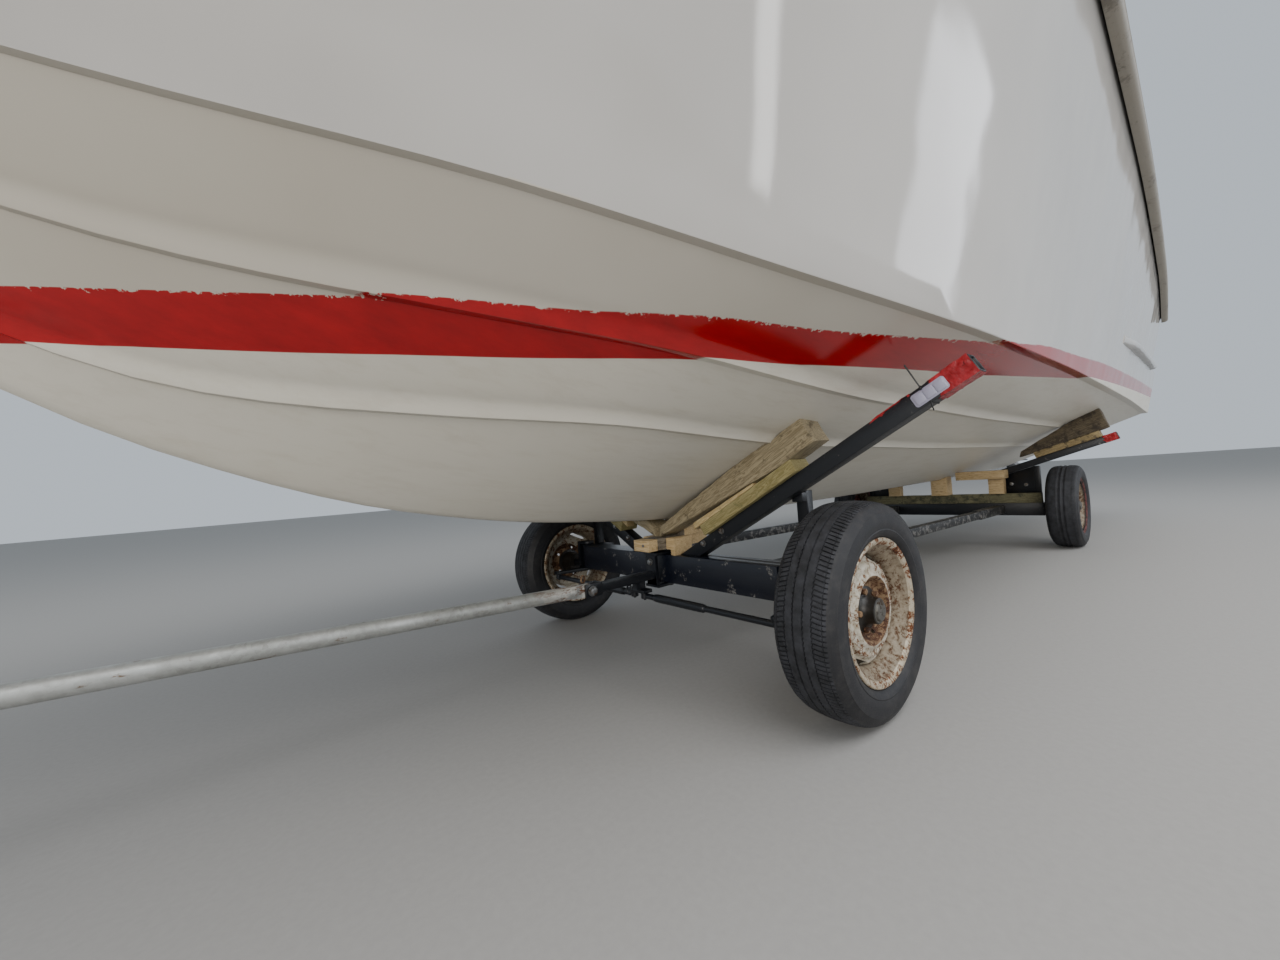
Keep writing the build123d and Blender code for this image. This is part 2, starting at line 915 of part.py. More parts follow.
def drive_leg():
    # Upper casing, leg, ventilation plate, torpedo and skeg
    z = tilt_axis_z
    upper = [(tilt_x - 40, z + 70), (tilt_x + 32, z + 50), (tilt_x + 32, z - 95),
             (tilt_x - 20, plate_z), (leg_back_x + 20, plate_z),
             (leg_back_x, z - 150), (leg_back_x, z + 40), (leg_back_x + 60, z + 130)]
    body = prism_y(upper, -leg_half, leg_half)
    body = fillet(body.edges().filter_by(Axis.Y), leg_round)
    body += leg_strut()
    plate = prism_z([(leg_end_x, -80), (leg_end_x + 60, -120), (tilt_x - 20, -96),
                     (tilt_x - 20, 96), (leg_end_x + 60, 120), (leg_end_x, 80)],
                    plate_z - 7, plate_z + 7)
    body += plate
    body += rod((prop_x + 12, 0, prop_z), (tilt_x - 60, 0, prop_z), torpedo_radius)
    body += torpedo_nose()
    skeg = [(tilt_x - 60, prop_z), (tilt_x - 150, prop_z - 200), (tilt_x - 215, prop_z - 200),
            (tilt_x - 200, prop_z)]
    body += prism_y(skeg, -9, 9)
    body += rod((tilt_x, -boss_half, z), (tilt_x, boss_half, z), tilt_boss)
    body -= rod((tilt_x, -boss_half - 1, z), (tilt_x, boss_half + 1, z), tilt_pin + running_gap)
    body += rod((prop_x - 60, 0, prop_z), (prop_x + 20, 0, prop_z), prop_shaft)
    return body


def leg_strut():
    # The slim foil between the plate and the torpedo
    faces = []
    for z, half, x in ((plate_z + 30, 40, tilt_x - 118), (prop_z + 10, 24, tilt_x - 128)):
        plane = Plane(origin=(x, 0, z), x_dir=(1, 0, 0), z_dir=(0, 0, 1))
        faces.append(plane * Ellipse(strut_half_chord, half))
    return loft(faces)


def torpedo_nose():
    # A bullet nose turned about the propeller's axis
    x = tilt_x - 60
    arc = EllipticalCenterArc((x, prop_z), torpedo_nose_length, torpedo_radius, arc_size=90)
    points = [(x, prop_z + torpedo_radius), (x, prop_z), (x + torpedo_nose_length, prop_z)]
    face = make_face(arc + Polyline(*points))
    turned = Plane.XZ * face
    return revolve(turned, axis=Axis((0, 0, prop_z), (1, 0, 0)), revolution_arc=360)


def lens(chord, thickness):
    # A blade's section: two arcs that meet in the leading and the trailing edge
    upper = ThreePointArc((-chord / 2, 0), (0, thickness / 2), (chord / 2, 0))
    lower = ThreePointArc((chord / 2, 0), (0, -thickness / 2), (-chord / 2, 0))
    return make_face([upper, lower])


def blade():
    # One blade lofted outwards through sections that untwist towards the tip
    faces = []
    for radius, chord, thickness, pitch in blade_table:
        plane = Plane(origin=(0, 0, radius), x_dir=(0, 1, 0), z_dir=(0, 0, 1))
        faces.append(plane * Rot(0, 0, pitch) * lens(chord, thickness))
    return loft(faces)


def propeller():
    body = rod((prop_x - 80, 0, prop_z), (prop_x + 6, 0, prop_z), prop_hub)
    for turn in range(3):
        body += Pos(prop_x - 38, 0, prop_z) * Rot(120 * turn, 0, 0) * blade()
    body -= rod((prop_x - 70, 0, prop_z), (prop_x + 30, 0, prop_z), prop_shaft + running_gap)
    return body


def ladder():
    # Two rails and three treads, stowed flat on the platform
    z = ladder_z
    body = None
    for y in (ladder_y - ladder_half, ladder_y + ladder_half):
        rail = rod((ladder_x, y, z), (ladder_x + ladder_length, y, z), 13)
        body = rail if body is None else body + rail
    for step in range(3):
        x = ladder_x + 140 + step * 190
        body += box(x - 22, x + 22, ladder_y - ladder_half, ladder_y + ladder_half, z - 9, z + 9)
    reach = ladder_half + ladder_ear_gap + ladder_ear
    body += rod((ladder_x, ladder_y - reach, z), (ladder_x, ladder_y + reach, z), ladder_pin)
    return body


def ladder_brackets():
    # Two ears that stand on the platform and carry the ladder's pin
    body = None
    z0 = platform_z + platform_thick
    inner = ladder_half + ladder_ear_gap
    for side in (-1, 1):
        y0 = ladder_y + side * inner
        y1 = ladder_y + side * (inner + ladder_ear)
        ear = box(platform_end_x, ladder_x + 60, y0, y1, z0, ladder_z + 18)
        ear += box(ladder_x - 18, platform_end_x + 1, y0, y1, z0, ladder_z + 18)
        hole = ((ladder_x, y0 - side, ladder_z), (ladder_x, y1 + side, ladder_z))
        ear -= rod(*hole, ladder_pin + running_gap)
        body = ear if body is None else body + ear
    return body


def front_beam():
    body = box(beam_x0, beam_x1, -beam_half, beam_half, beam_z0, beam_z1)
    for side in (-1, 1):
        y = side * kingpin_y
        body += box(beam_x0 + 18, beam_x1 - 18, side * (beam_half - 5), y, beam_z0, beam_z1)
        middle = (beam_z0 + beam_z1) / 2
        body += Pos(yaw_x, y, middle) * Cylinder(kingpin_boss, beam_z1 - beam_z0)
        body -= rod((yaw_x, y, beam_z0 - 5), (yaw_x, y, beam_z1 + 5), kingpin_radius + running_gap)
    body -= rod((yaw_x, 0, beam_z0 - 5), (yaw_x, 0, beam_z1 + 5), yaw_pin + running_gap)
    return body


def rear_beam():
    half = rear_beam_half
    body = box(rear_beam_x0, rear_beam_x1, -half, half, rear_beam_z0, rear_beam_z1)
    x = rear_axle_x
    z = rear_axle_z
    for side in (-1, 1):
        end = side * (rear_track / 2 + stub_reach)
        body += rod((x, side * (half - 20), z), (x, end, z), stub_radius)
    return body


def side_rails():
    x0 = rear_beam_x1
    x1 = beam_x0
    half = side_rail_size / 2
    outline = [
        (x0, side_rail_rear_z - half), (x1, side_rail_front_z - half),
        (x1, side_rail_front_z + half), (x0, side_rail_rear_z + half),
    ]
    rail = prism_y(outline, side_rail_y - half, side_rail_y + half)
    sleeve_x1 = x0 + sleeve_length
    slope = (side_rail_front_z - side_rail_rear_z) / (x1 - x0)
    grow = half + sleeve_wall
    z1 = side_rail_rear_z + slope * sleeve_length
    sleeve = [
        (x0, side_rail_rear_z - grow), (sleeve_x1, z1 - grow),
        (sleeve_x1, z1 + grow), (x0, side_rail_rear_z + grow),
    ]
    rail += prism_y(sleeve, side_rail_y - grow, side_rail_y + grow)
    return both_sides(rail)


def arm(x, foot_y, tip_y, base_z, angle):
    # A square tube rising outboard from a beam, cut level at its foot, open at its tip
    slope = sin(radians(angle)) / cos(radians(angle))
    foot_in = foot_y - arm_size / sin(radians(angle))
    low_tip = base_z + slope * (tip_y - foot_y)
    shift_y = arm_size * sin(radians(angle))
    shift_z = arm_size * cos(radians(angle))
    outline = [(foot_in, base_z), (foot_y, base_z), (tip_y, low_tip),
               (tip_y - shift_y, low_tip + shift_z)]
    body = prism_x(outline, x - arm_size / 2, x + arm_size / 2)
    mouth_y = tip_y + 10
    start_y = tip_y - arm_mouth
    centre_lift = arm_size / cos(radians(angle)) / 2
    p = (x, start_y, base_z + slope * (start_y - foot_y) + centre_lift)
    q = (x, mouth_y, base_z + slope * (mouth_y - foot_y) + centre_lift)
    inner = arm_size - 2 * arm_wall
    body -= bar(p, q, inner, inner)
    return body


def front_arms():
    return both_sides(arm(yaw_x, front_arm_foot_y, front_arm_tip_y, beam_z1, front_arm_slope))


def rear_arms():
    z = rear_arm_foot_z
    body = arm(rear_arm_x, rear_arm_foot_y, rear_arm_tip_y, z, rear_arm_slope)
    return both_sides(body)


def arm_top(y, foot_y, base_z, angle):
    slope = sin(radians(angle)) / cos(radians(angle))
    return base_z + slope * (y - foot_y) + arm_size / cos(radians(angle))


def front_posts():
    x0 = beam_x0 - post_size
    x1 = beam_x0
    top = arm_top(post_y, front_arm_foot_y, beam_z1, front_arm_slope)
    post = box(x0, x1, post_y - post_size / 2, post_y + post_size / 2, beam_z0 + 40, top - 40)
    foot = box(x0, x1, beam_half - 60, post_y + post_size / 2, beam_z0 + 40, beam_z1)
    half = post_size / 2
    tie = box(x0, yaw_x - arm_size / 2, post_y - half, post_y + half, top - 75, top - 45)
    return both_sides(post + foot + tie)


def rear_posts():
    y0 = rear_post_y - post_size / 2
    x0 = rear_arm_x - post_size / 2
    z0 = rear_beam_z1
    post_top = rear_arm_underside(y0)
    post = box(x0, x0 + post_size, y0, y0 + post_size, z0, post_top)
    inner_y = rear_arm_foot_y
    outline = [(inner_y + 60, z0), (y0 + 5, z0), (y0 + 5, post_top), (inner_y, rear_arm_foot_z)]
    gusset = prism_x(outline, rear_arm_x - 5, rear_arm_x + 5)
    return both_sides(post + gusset)


def rear_arm_underside(y):
    lift = arm_size / cos(radians(rear_arm_slope))
    return arm_top(y, rear_arm_foot_y, rear_arm_foot_z, rear_arm_slope) - lift


def along_arm(foot_y, base_z, angle, y0, y1, thick, start, end):
    # A timber of one thickness lying on an arm's top face from y0 to y1
    top0 = arm_top(y0, foot_y, base_z, angle)
    top1 = arm_top(y1, foot_y, base_z, angle)
    out = thick * sin(radians(angle))
    up = thick * cos(radians(angle))
    outline = [(y0, top0), (y1, top1), (y1 - out, top1 + up), (y0 - out, top0 + up)]
    return prism_x(outline, start, end)


def front_timbers():
    y0, y1, thick = front_timber
    piece = along_arm(front_arm_foot_y, beam_z1, front_arm_slope, y0, y1, thick,
                      timber_x0, timber_x1)
    return both_sides(piece)


def pad_outline(low_y, low_z, foot_y, base_z, angle, seat_y, tip_y, thick, depth):
    # A long wedge of plank: thin low end, underside on the arm's timber near its high end
    rise = thick / cos(radians(angle)) + seat_gap
    seat_z = arm_top(seat_y, foot_y, base_z, angle) + rise
    tip_z = arm_top(tip_y, foot_y, base_z, angle) + rise
    out = depth * sin(radians(angle))
    up = depth * cos(radians(angle))
    return [(low_y, low_z), (seat_y, seat_z), (tip_y, tip_z), (tip_y - out, tip_z + up),
            (low_y + 10, low_z + 45)]


def front_pads(core):
    # Long wedges of plank between the arm timbers and the bottom
    low_y, low_z, seat_y, tip_y, depth = front_pad
    outline = pad_outline(low_y, low_z, front_arm_foot_y, beam_z1, front_arm_slope,
                          seat_y, tip_y, front_timber[2], depth)
    return both_sides(prism_x(outline, pad_x0, pad_x1)) - core - strakes()


def rear_timbers():
    y0, y1, thick = rear_timber
    piece = along_arm(rear_arm_foot_y, rear_arm_foot_z, rear_arm_slope, y0, y1, thick,
                      rear_arm_x - 45, rear_arm_x + 50)
    return both_sides(piece)


def rear_pads(core):
    low_y, low_z, seat_y, tip_y, depth = rear_pad
    outline = pad_outline(low_y, low_z, rear_arm_foot_y, rear_arm_foot_z, rear_arm_slope,
                          seat_y, tip_y, rear_timber[2], depth)
    return both_sides(prism_x(outline, rear_arm_x - 45, rear_arm_x + 50)) - core - strakes()


def keel_blocks_front(core):
    # A timber along the keel on two packers and a bridge, with a block under the keel
    x0, x1 = keel_block_x
    z0 = beam_z1 + packer_height
    z1 = z0 + timber_height
    low = box(x0, x1, -48, 48, z0, z1)
    packer = box(beam_x0, beam_x1, 74, 96, beam_z1, z0)
    bridge = box(beam_x0, beam_x1, -96, 96, z0, z1)
    top = box(x0 + 20, pad_x0 - 4, -60, 60, z1, 640)
    return low + bridge + both_sides(packer) + top - core


def keel_blocks_rear(core):
    # Blocks and laths on the cross plank, beside and under the keel
    top = rear_plank_z1
    x0 = rear_plank_x0
    x1 = rear_plank_x1
    body = box(x0, x1 + 90, -60, 60, top, 640)
    side = box(x0, x1 + 30, 338, 438, top, top + 124)
    lath = box(x0, x1 + 90, 130, 458, top + 124, top + 190)
    body += both_sides(side + lath)
    return body - core


def rear_cross_plank():
    half = rear_plank_half
    return box(rear_plank_x0, rear_plank_x1, -half, half, rear_beam_z1, rear_plank_z1)


def drawbar_stub():
    # A fork round the beam on an upright pin, and a bar out to the hinge cheeks
    x0 = yaw_x - 42
    x1 = web_x + web_thickness
    low1 = beam_z0 - plate_gap
    high0 = beam_z1 + plate_gap
    body = box(x0, x1, -plate_half, plate_half, high0, high0 + plate_thickness)
    body += box(x0, x1, -plate_half, plate_half, low1 - plate_thickness, low1)
    body += box(web_x, x1, -web_half, web_half, low1 - plate_thickness, high0 + plate_thickness)
    body += rod((yaw_x, 0, low1 - 20), (yaw_x, 0, high0 + plate_thickness), yaw_pin)
    body += box(x1 - 4, cheek_x0 + 5, -stub_half, stub_half, bar_hinge_z - 15, bar_hinge_z + 15)
    for side in (-1, 1):
        y0 = side * cheek_gap
        y1 = side * (cheek_gap + cheek_thickness)
        body += box(cheek_x0, bar_hinge_x + 24, y0, y1, bar_hinge_z - 24, bar_hinge_z + 24)
    half = cheek_gap + cheek_thickness
    body += box(cheek_x0 - 8, cheek_x0 + 4, -half, half, bar_hinge_z - 24, bar_hinge_z + 24)
    reach = cheek_gap + cheek_thickness + 6
    body += rod((bar_hinge_x, -reach, bar_hinge_z), (bar_hinge_x, reach, bar_hinge_z), hinge_pin)
    plate_z1 = tie_rod_z + 25
    body += box(steer_arm_x - 22, steer_arm_x + 22, -54, 54, plate_z1 - 12, plate_z1)
    body += box(steer_arm_x - 22, steer_arm_x + 22, -14, 14, plate_z1 - 2, bar_hinge_z - 10)
    for side in (-1, 1):
        y = side * tie_rod_inner_y
        body += rod((steer_arm_x, y, tie_rod_z - 16), (steer_arm_x, y, plate_z1 - 5), rod_pin)
    return body


def drawbar():
    # A round tube with a flattened end at the hinge and a ring for the towing pin
    rise = radians(bar_rise)
    ux, uz = cos(rise), sin(rise)
    hx, hz = bar_hinge_x, bar_hinge_z
    tip = (hx + bar_length * ux, 0, hz + bar_length * uz)
    body = rod((hx + 60 * ux, 0, hz + 60 * uz), (tip[0] - 60 * ux, 0, tip[2] - 60 * uz), bar_radius)
    flat = Pos(hx + 45 * ux, 0, hz + 45 * uz) * Rot(0, -bar_rise, 0) * Box(90, flat_thickness, 44)
    body += flat
    body += Pos(hx, 0, hz) * Rot(90, 0, 0) * Cylinder(22, flat_thickness)
    body -= rod((hx, -40, hz), (hx, 40, hz), hinge_pin + running_gap)
    ring = Pos(*tip) * Cylinder(eye_outer, 26)
    hole = Pos(*tip) * Cylinder(eye_bore, 60)
    neck = rod((tip[0] - 90 * ux, 0, tip[2] - 90 * uz), (tip[0] - 34 * ux, 0, tip[2] - 34 * uz), 13)
    body += ring + neck
    return body - hole


def knuckle(side):
    # Lugs over and under the beam's eye, the steering arm and the stub axle
    y = side * kingpin_y
    outer = side * (kingpin_y + knuckle_reach)
    low1 = beam_z0 - plate_gap
    high0 = beam_z1 + plate_gap
    t = knuckle_plate
    body = None
    for z0 in (low1 - t, high0):
        lug = box(yaw_x - 28, yaw_x + 28, y, outer, z0, z0 + t)
        lug += Pos(yaw_x, y, z0 + t / 2) * Cylinder(28, t)
        body = lug if body is None else body + lug
    back = box(yaw_x - 34, yaw_x + 34, outer, outer + side * t, low1 - t, high0 + t)
    body += back
    body += rod((yaw_x, y, low1 - t), (yaw_x, y, high0 + t), kingpin_radius)
    end = (0, side * (front_track / 2 + stub_reach), front_axle_z)
    body += rod((0, outer, front_axle_z), end, stub_radius)
    end_y = side * (kingpin_y + tie_rod_inner_y)
    points = [(yaw_x, y - side * 24), (steer_arm_x + 18, end_y - side * 18),
              (steer_arm_x + 18, end_y + side * 18), (yaw_x, y + side * 30)]
    if side < 0:
        points.reverse()
    body += prism_z(points, low1 - t, low1)
    body += rod((steer_arm_x, end_y, tie_rod_z - 16), (steer_arm_x, end_y, low1 - 4), outer_rod_pin)
    return body


def tie_rod(side):
    y0 = side * tie_rod_inner_y
    y1 = side * (kingpin_y + tie_rod_inner_y)
    z = tie_rod_z
    body = rod((steer_arm_x, y0 + side * 14, z), (steer_arm_x, y1 - side * 14, z), tie_rod_radius)
    for y in (y0, y1):
        body += Pos(steer_arm_x, y, z) * Cylinder(rod_eye, 20)
    body -= rod((steer_arm_x, y0, z - 30), (steer_arm_x, y0, z + 30), rod_pin + running_gap)
    body -= rod((steer_arm_x, y1, z - 30), (steer_arm_x, y1, z + 30), outer_rod_pin + open_pin_gap)
    return body


def revolve_y(points, centre):
    # An (offset along the axle, radius) outline turned about a wheel's axle
    face = Face(Wire.make_polygon([(r, y, 0) for y, r in points], close=True))
    turned = revolve(face, axis=Axis((0, 0, 0), (0, 1, 0)), revolution_arc=360)
    return Pos(*centre) * turned


def tyre(centre, radius):
    w = tyre_width / 2
    bead = rim_flange_radius - 14
    points = [
        (w - rim_inset - seat_gap, bead + seat_gap),
        (w - rim_inset - seat_gap, bead + 15),
        (w - 4, bead + 26),
        (w, radius - 62),
        (w - 8, radius - 26),
        (w - 26, radius - 8),
        (w - 60, radius - 1),
    ]
    inner = [(-y, r) for y, r in points]
    return revolve_y(inner + [(0, radius)] + list(reversed(points)), centre)


def disc_slots():
    # The long openings between the disc's flats and the rim
    inner, outer = rim_slot_radii
    ring = Cylinder(outer, tyre_width) - Cylinder(inner, tyre_width)
    segment = ring & Pos(outer, 0, 0) * Box(outer, rim_slot_width, tyre_width)
    result = None
    for index in range(rim_slots):
        slot = Rot(90, 0, 0) * Rot(0, 0, 45 + 360 / rim_slots * index) * segment
        result = slot if result is None else result + slot
    return result


def rim(centre, side):
    # Steel disc wheel with its hub; side is +1 where the outer face looks to +Y
    f = rim_flange_radius - 15
    w = tyre_width / 2 - rim_inset
    shell = [
        (-w, f), (-w, f + 15), (-w - 7, f + 15), (-w - 7, f - 2), (-w + 20, f - 26),
        (0, f - 34), (w - 20, f - 28), (w + 7, f - 2), (w + 7, f + 15), (w, f + 15),
        (w, f), (w - 22, f - 20), (0, f - 26), (-w + 22, f - 18),
    ]
    disc = [
        (6, f - 31), (-2, f - 33), (20, f - 60), (34, 96), (18, 88), (16, hub_radius),
        (22, hub_radius), (24, 84), (40, 92), (40, 104), (28, f - 58),
    ]
    hub = [
        (-60, stub_radius + running_gap),
        (-60, 48),
        (16, 52),
        (16, hub_radius + 4),
        (23, hub_radius + 4),
        (23, 44),
        (60, 36),
        (72, 26),
        (72, 0),
        (stub_reach + 2, 0),
        (stub_reach + 2, stub_radius + running_gap),
    ]
    body = revolve_y(shell, (0, 0, 0)) + (revolve_y(disc, (0, 0, 0)) - disc_slots())
    body += revolve_y(hub, (0, 0, 0))
    if side < 0:
        body = mirrored(body)
    return Pos(*centre) * body


boat = boat_core()
save(hull(boat), "hull")
save(deck(boat), "deck")
save(rubbing_strake(boat), "rubbing_strake")
save(platform_boards(), "platform_boards")
save(windscreen_frame(boat), "windscreen_frame")
save(windscreen_glass() - boat, "windscreen_glass")
save(cabin_door(), "cabin_door")
save(door_hinges(), "door_hinges")
save(hatch_hinges(), "hatch_hinges")
save(forehatch_lid(), "forehatch_lid")
save(engine_hatch(), "engine_hatch")
save(sunpad(), "sunpad")
save(engine_block(), "engine_block")
save(helm_console() + steering_column(), "helm_console")
save(steering_wheel(), "steering_wheel")
save(seat(-seat_y) + seat(seat_y), "helm_seats")
save(seat_pedestal(-seat_y) + seat_pedestal(seat_y), "seat_pedestals")
save(bench_base(), "bench_base")
save(bench_cushion(), "bench_cushion")
save(bow_rail() - boat, "bow_rail")
save(cleats() - boat, "cleats")
save(bow_eye() - boat, "bow_eye")
save(drive_shield(), "drive_shield")
save(gimbal_ring(), "gimbal_ring")
save(drive_leg(), "drive_leg")
save(propeller(), "propeller")
save(ladder(), "ladder")
save(ladder_brackets(), "ladder_brackets")
save(front_beam(), "front_beam")
save(rear_beam(), "rear_beam")
save(side_rails(), "side_rails")
save(front_arms(), "front_arms")
save(rear_arms(), "rear_arms")
save(front_posts(), "front_posts")
save(rear_posts(), "rear_posts")
save(front_timbers(), "front_timbers")
save(front_pads(boat), "front_pads")
save(rear_timbers(), "rear_timbers")
save(rear_pads(boat), "rear_pads")
save(keel_blocks_front(boat), "keel_blocks_front")
save(keel_blocks_rear(boat), "keel_blocks_rear")
save(rear_cross_plank(), "rear_cross_plank")
save(drawbar_stub(), "drawbar_stub")
save(drawbar(), "drawbar")
for side, name in ((1, "port"), (-1, "starboard")):
    save(knuckle(side), "knuckle_" + name)
    save(tie_rod(side), "tie_rod_" + name)
    front_centre = (0, side * front_track / 2, front_axle_z)
    rear_centre = (rear_axle_x, side * rear_track / 2, rear_axle_z)
    save(tyre(front_centre, front_tyre_radius), "tyre_front_" + name)
    save(rim(front_centre, side), "rim_front_" + name)
    save(tyre(rear_centre, rear_tyre_radius), "tyre_rear_" + name)
    save(rim(rear_centre, side), "rim_rear_" + name)
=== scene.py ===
# %% [markdown]
# # A day cruiser on its yard trolley
# The boat stands over its trolley and the photograph looks up at the planing bottom from
# beside the front wheel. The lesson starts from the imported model, which gives every piece its
# size and place in metres: +X to the bow, +Y to port, +Z up, floor at Z = 0.

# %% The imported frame
import json
import math

import bmesh
import bpy
from mathutils import Matrix, Vector
from mathutils.noise import turbulence, turbulence_vector


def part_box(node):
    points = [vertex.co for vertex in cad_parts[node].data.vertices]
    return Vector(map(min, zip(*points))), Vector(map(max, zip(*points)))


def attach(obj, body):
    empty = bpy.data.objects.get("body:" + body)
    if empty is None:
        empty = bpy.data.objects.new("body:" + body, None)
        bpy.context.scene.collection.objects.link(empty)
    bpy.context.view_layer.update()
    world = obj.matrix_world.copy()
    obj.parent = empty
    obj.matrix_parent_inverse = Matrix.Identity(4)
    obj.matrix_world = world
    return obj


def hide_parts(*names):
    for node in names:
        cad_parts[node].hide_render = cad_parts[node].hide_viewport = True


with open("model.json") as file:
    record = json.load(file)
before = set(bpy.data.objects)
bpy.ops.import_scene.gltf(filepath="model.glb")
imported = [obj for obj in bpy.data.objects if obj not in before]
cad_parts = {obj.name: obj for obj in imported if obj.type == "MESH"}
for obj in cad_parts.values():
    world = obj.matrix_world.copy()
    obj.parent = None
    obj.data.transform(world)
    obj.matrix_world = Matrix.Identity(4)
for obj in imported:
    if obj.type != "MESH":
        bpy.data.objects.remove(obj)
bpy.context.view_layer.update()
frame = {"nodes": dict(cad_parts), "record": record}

# %% [markdown]
# The front axle is the yard's own datum for the trolley, and the photograph was measured from
# it. The middle of the two front tyres gives its place in the frame.

# %% The datum under the front axle
low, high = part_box("tyre_front_port")
axle_x = (low.x + high.x) / 2
axle_z = (low.z + high.z) / 2
print("front axle at", round(axle_x, 3), "and", round(axle_z, 3))


def at(x, y, z):
    """A point measured from the floor under the front axle."""
    return Vector((axle_x + x, y, z))


# %% [markdown]
# ## Camera
# The photograph is a very wide one, taken from knee height beside the bow with the camera
# rolled a little. Its focal length comes from the wheel and the beam: 464 pixels in a frame
# 1280 wide, which is a 13 mm lens on a 36 mm sensor.

# %% Camera
photo_width = 1280
focal_pixels = 463.77
camera_yaw = math.radians(50.673)
camera_pitch = math.radians(-0.240)
camera_roll = math.radians(4.364)
camera_place = at(1.3214, 1.4685, 0.7234)

ahead = Vector((
    -math.cos(camera_yaw) * math.cos(camera_pitch),
    -math.sin(camera_yaw) * math.cos(camera_pitch),
    -math.sin(camera_pitch),
))
level = ahead.cross(Vector((0, 0, 1))).normalized()
down = ahead.cross(level)
right = level * math.cos(camera_roll) + down * math.sin(camera_roll)
under = down * math.cos(camera_roll) - level * math.sin(camera_roll)

lens = bpy.data.cameras.new("photo_camera")
lens.sensor_width = 36
lens.lens = focal_pixels / photo_width * lens.sensor_width
lens.clip_start = 0.02
lens.clip_end = 200
camera = bpy.data.objects.new("photo_camera", lens)
bpy.context.scene.collection.objects.link(camera)
turn = Matrix((right, -under, -ahead)).transposed().to_4x4()
camera.matrix_world = Matrix.Translation(camera_place) @ turn
bpy.context.scene.camera = camera
print("lens", round(lens.lens, 2), "mm")

# %% [markdown]
# ## Colours and nodes
# Colours are picked as sRGB hex values, and shaders want linear light, so one function
# turns one into the other. A second one adds a node, sets it and links it.

# %% Colours and nodes
def linear(code):
    """An sRGB hex colour as linear red, green, blue and alpha."""
    parts = [int(code[i:i + 2], 16) / 255 for i in (1, 3, 5)]
    light = [c / 12.92 if c <= 0.04045 else ((c + 0.055) / 1.055) ** 2.4 for c in parts]
    return (*light, 1.0)


def plug(tree, socket, value):
    """Sets an input, or links it where the value comes out of another node."""
    if isinstance(value, bpy.types.NodeSocket):
        tree.links.new(value, socket)
    else:
        socket.default_value = value


def add(tree, kind, *inputs, **named):
    """A node of any kind, of which the first open output comes back.

    Open inputs are given in their order, or by name where the name starts with a capital.
    Other names are the node's own settings.
    """
    made = tree.nodes.new("ShaderNode" + kind)
    for name, value in named.items():
        if name[0].islower():
            setattr(made, name, value)
    for socket, value in zip([entry for entry in made.inputs if entry.enabled], inputs):
        plug(tree, socket, value)
    for name, value in named.items():
        if name[0].isupper():
            plug(tree, made.inputs[name], value)
    return next(leaving for leaving in made.outputs if leaving.enabled)


def finish_named(name, **fixed):
    """A new material with one shader, whose fixed values sit on its own sockets."""
    made = bpy.data.materials.new(name)
    made.use_nodes = True
    shader = made.node_tree.nodes["Principled BSDF"]
    for socket, value in fixed.items():
        shader.inputs[socket.replace("_", " ")].default_value = value
    return made, made.node_tree, shader


def feed(tree, shader, **sockets):
    """Links what the nodes make to the shader's sockets."""
    for name, value in sockets.items():
        tree.links.new(value, shader.inputs[name.replace("_", " ")])


def place(tree, scale=(1, 1, 1)):
    """Object coordinates in metres, squeezed along the grain of a finish."""
    where = add(tree, "TexCoord").node.outputs["Object"]
    return add(tree, "Mapping", where, Scale=scale)


# %% [markdown]
# ## The waterline paint
# The topside is sprayed gelcoat, glossy enough to mirror the yard. The bottom has a satin
# paint. Between them a red boot stripe was masked off by eye: it sweeps up to the stem and to
# the stern and crosses the chine. Two curves give its lower and upper edge along the boat, and
# the height over them picks the paint. A little noise makes the upper edge ragged, where the
# tape leaked.

# %% Stripe lines
# Station, height of the stripe's lower edge, height of its upper edge
stripe_lines = [
    (-5.2, 1.150, 1.226),
    (-2.1, 1.068, 1.146),
    (-1.3, 1.032, 1.104),
    (-0.8, 1.006, 1.080),
    (-0.3, 0.984, 1.040),
    (0.15, 0.980, 1.030),
    (0.6, 0.989, 1.048),
    (1.1, 1.017, 1.094),
    (1.7, 1.064, 1.142),
    (3.2, 1.140, 1.230),
]
stripe_floor = 0.9
stripe_span = 0.4


def stripe_edge(tree, along, column):
    """The height of one edge of the stripe over the floor, from the place along the boat."""
    first, last = stripe_lines[0][0], stripe_lines[-1][0]
    share = add(tree, "MapRange", along, axle_x + first, axle_x + last)
    height = add(tree, "FloatCurve", Value=share)
    curve = height.node.mapping
    line = curve.curves[0]
    for station in stripe_lines[1:-1]:
        line.points.new((station[0] - first) / (last - first),
                        (station[column] - stripe_floor) / stripe_span)
    line.points[0].location = (0.0, (stripe_lines[0][column] - stripe_floor) / stripe_span)
    line.points[-1].location = (1.0, (stripe_lines[-1][column] - stripe_floor) / stripe_span)
    curve.update()
    return add(tree, "Math", height, stripe_span, stripe_floor, operation="MULTIPLY_ADD")


# %% [markdown]
# One function mixes all three paints, because the stripe crosses from the bottom to the
# topside. The two materials that it makes differ in gloss, in the colour over the stripe and in
# the swell of the surface: a topside mirrors the yard in long, slightly wavy bands.

# %% Hull paints
stripe_gloss = 0.12
bottom_gloss = 0.34
edge_softness = 0.0012


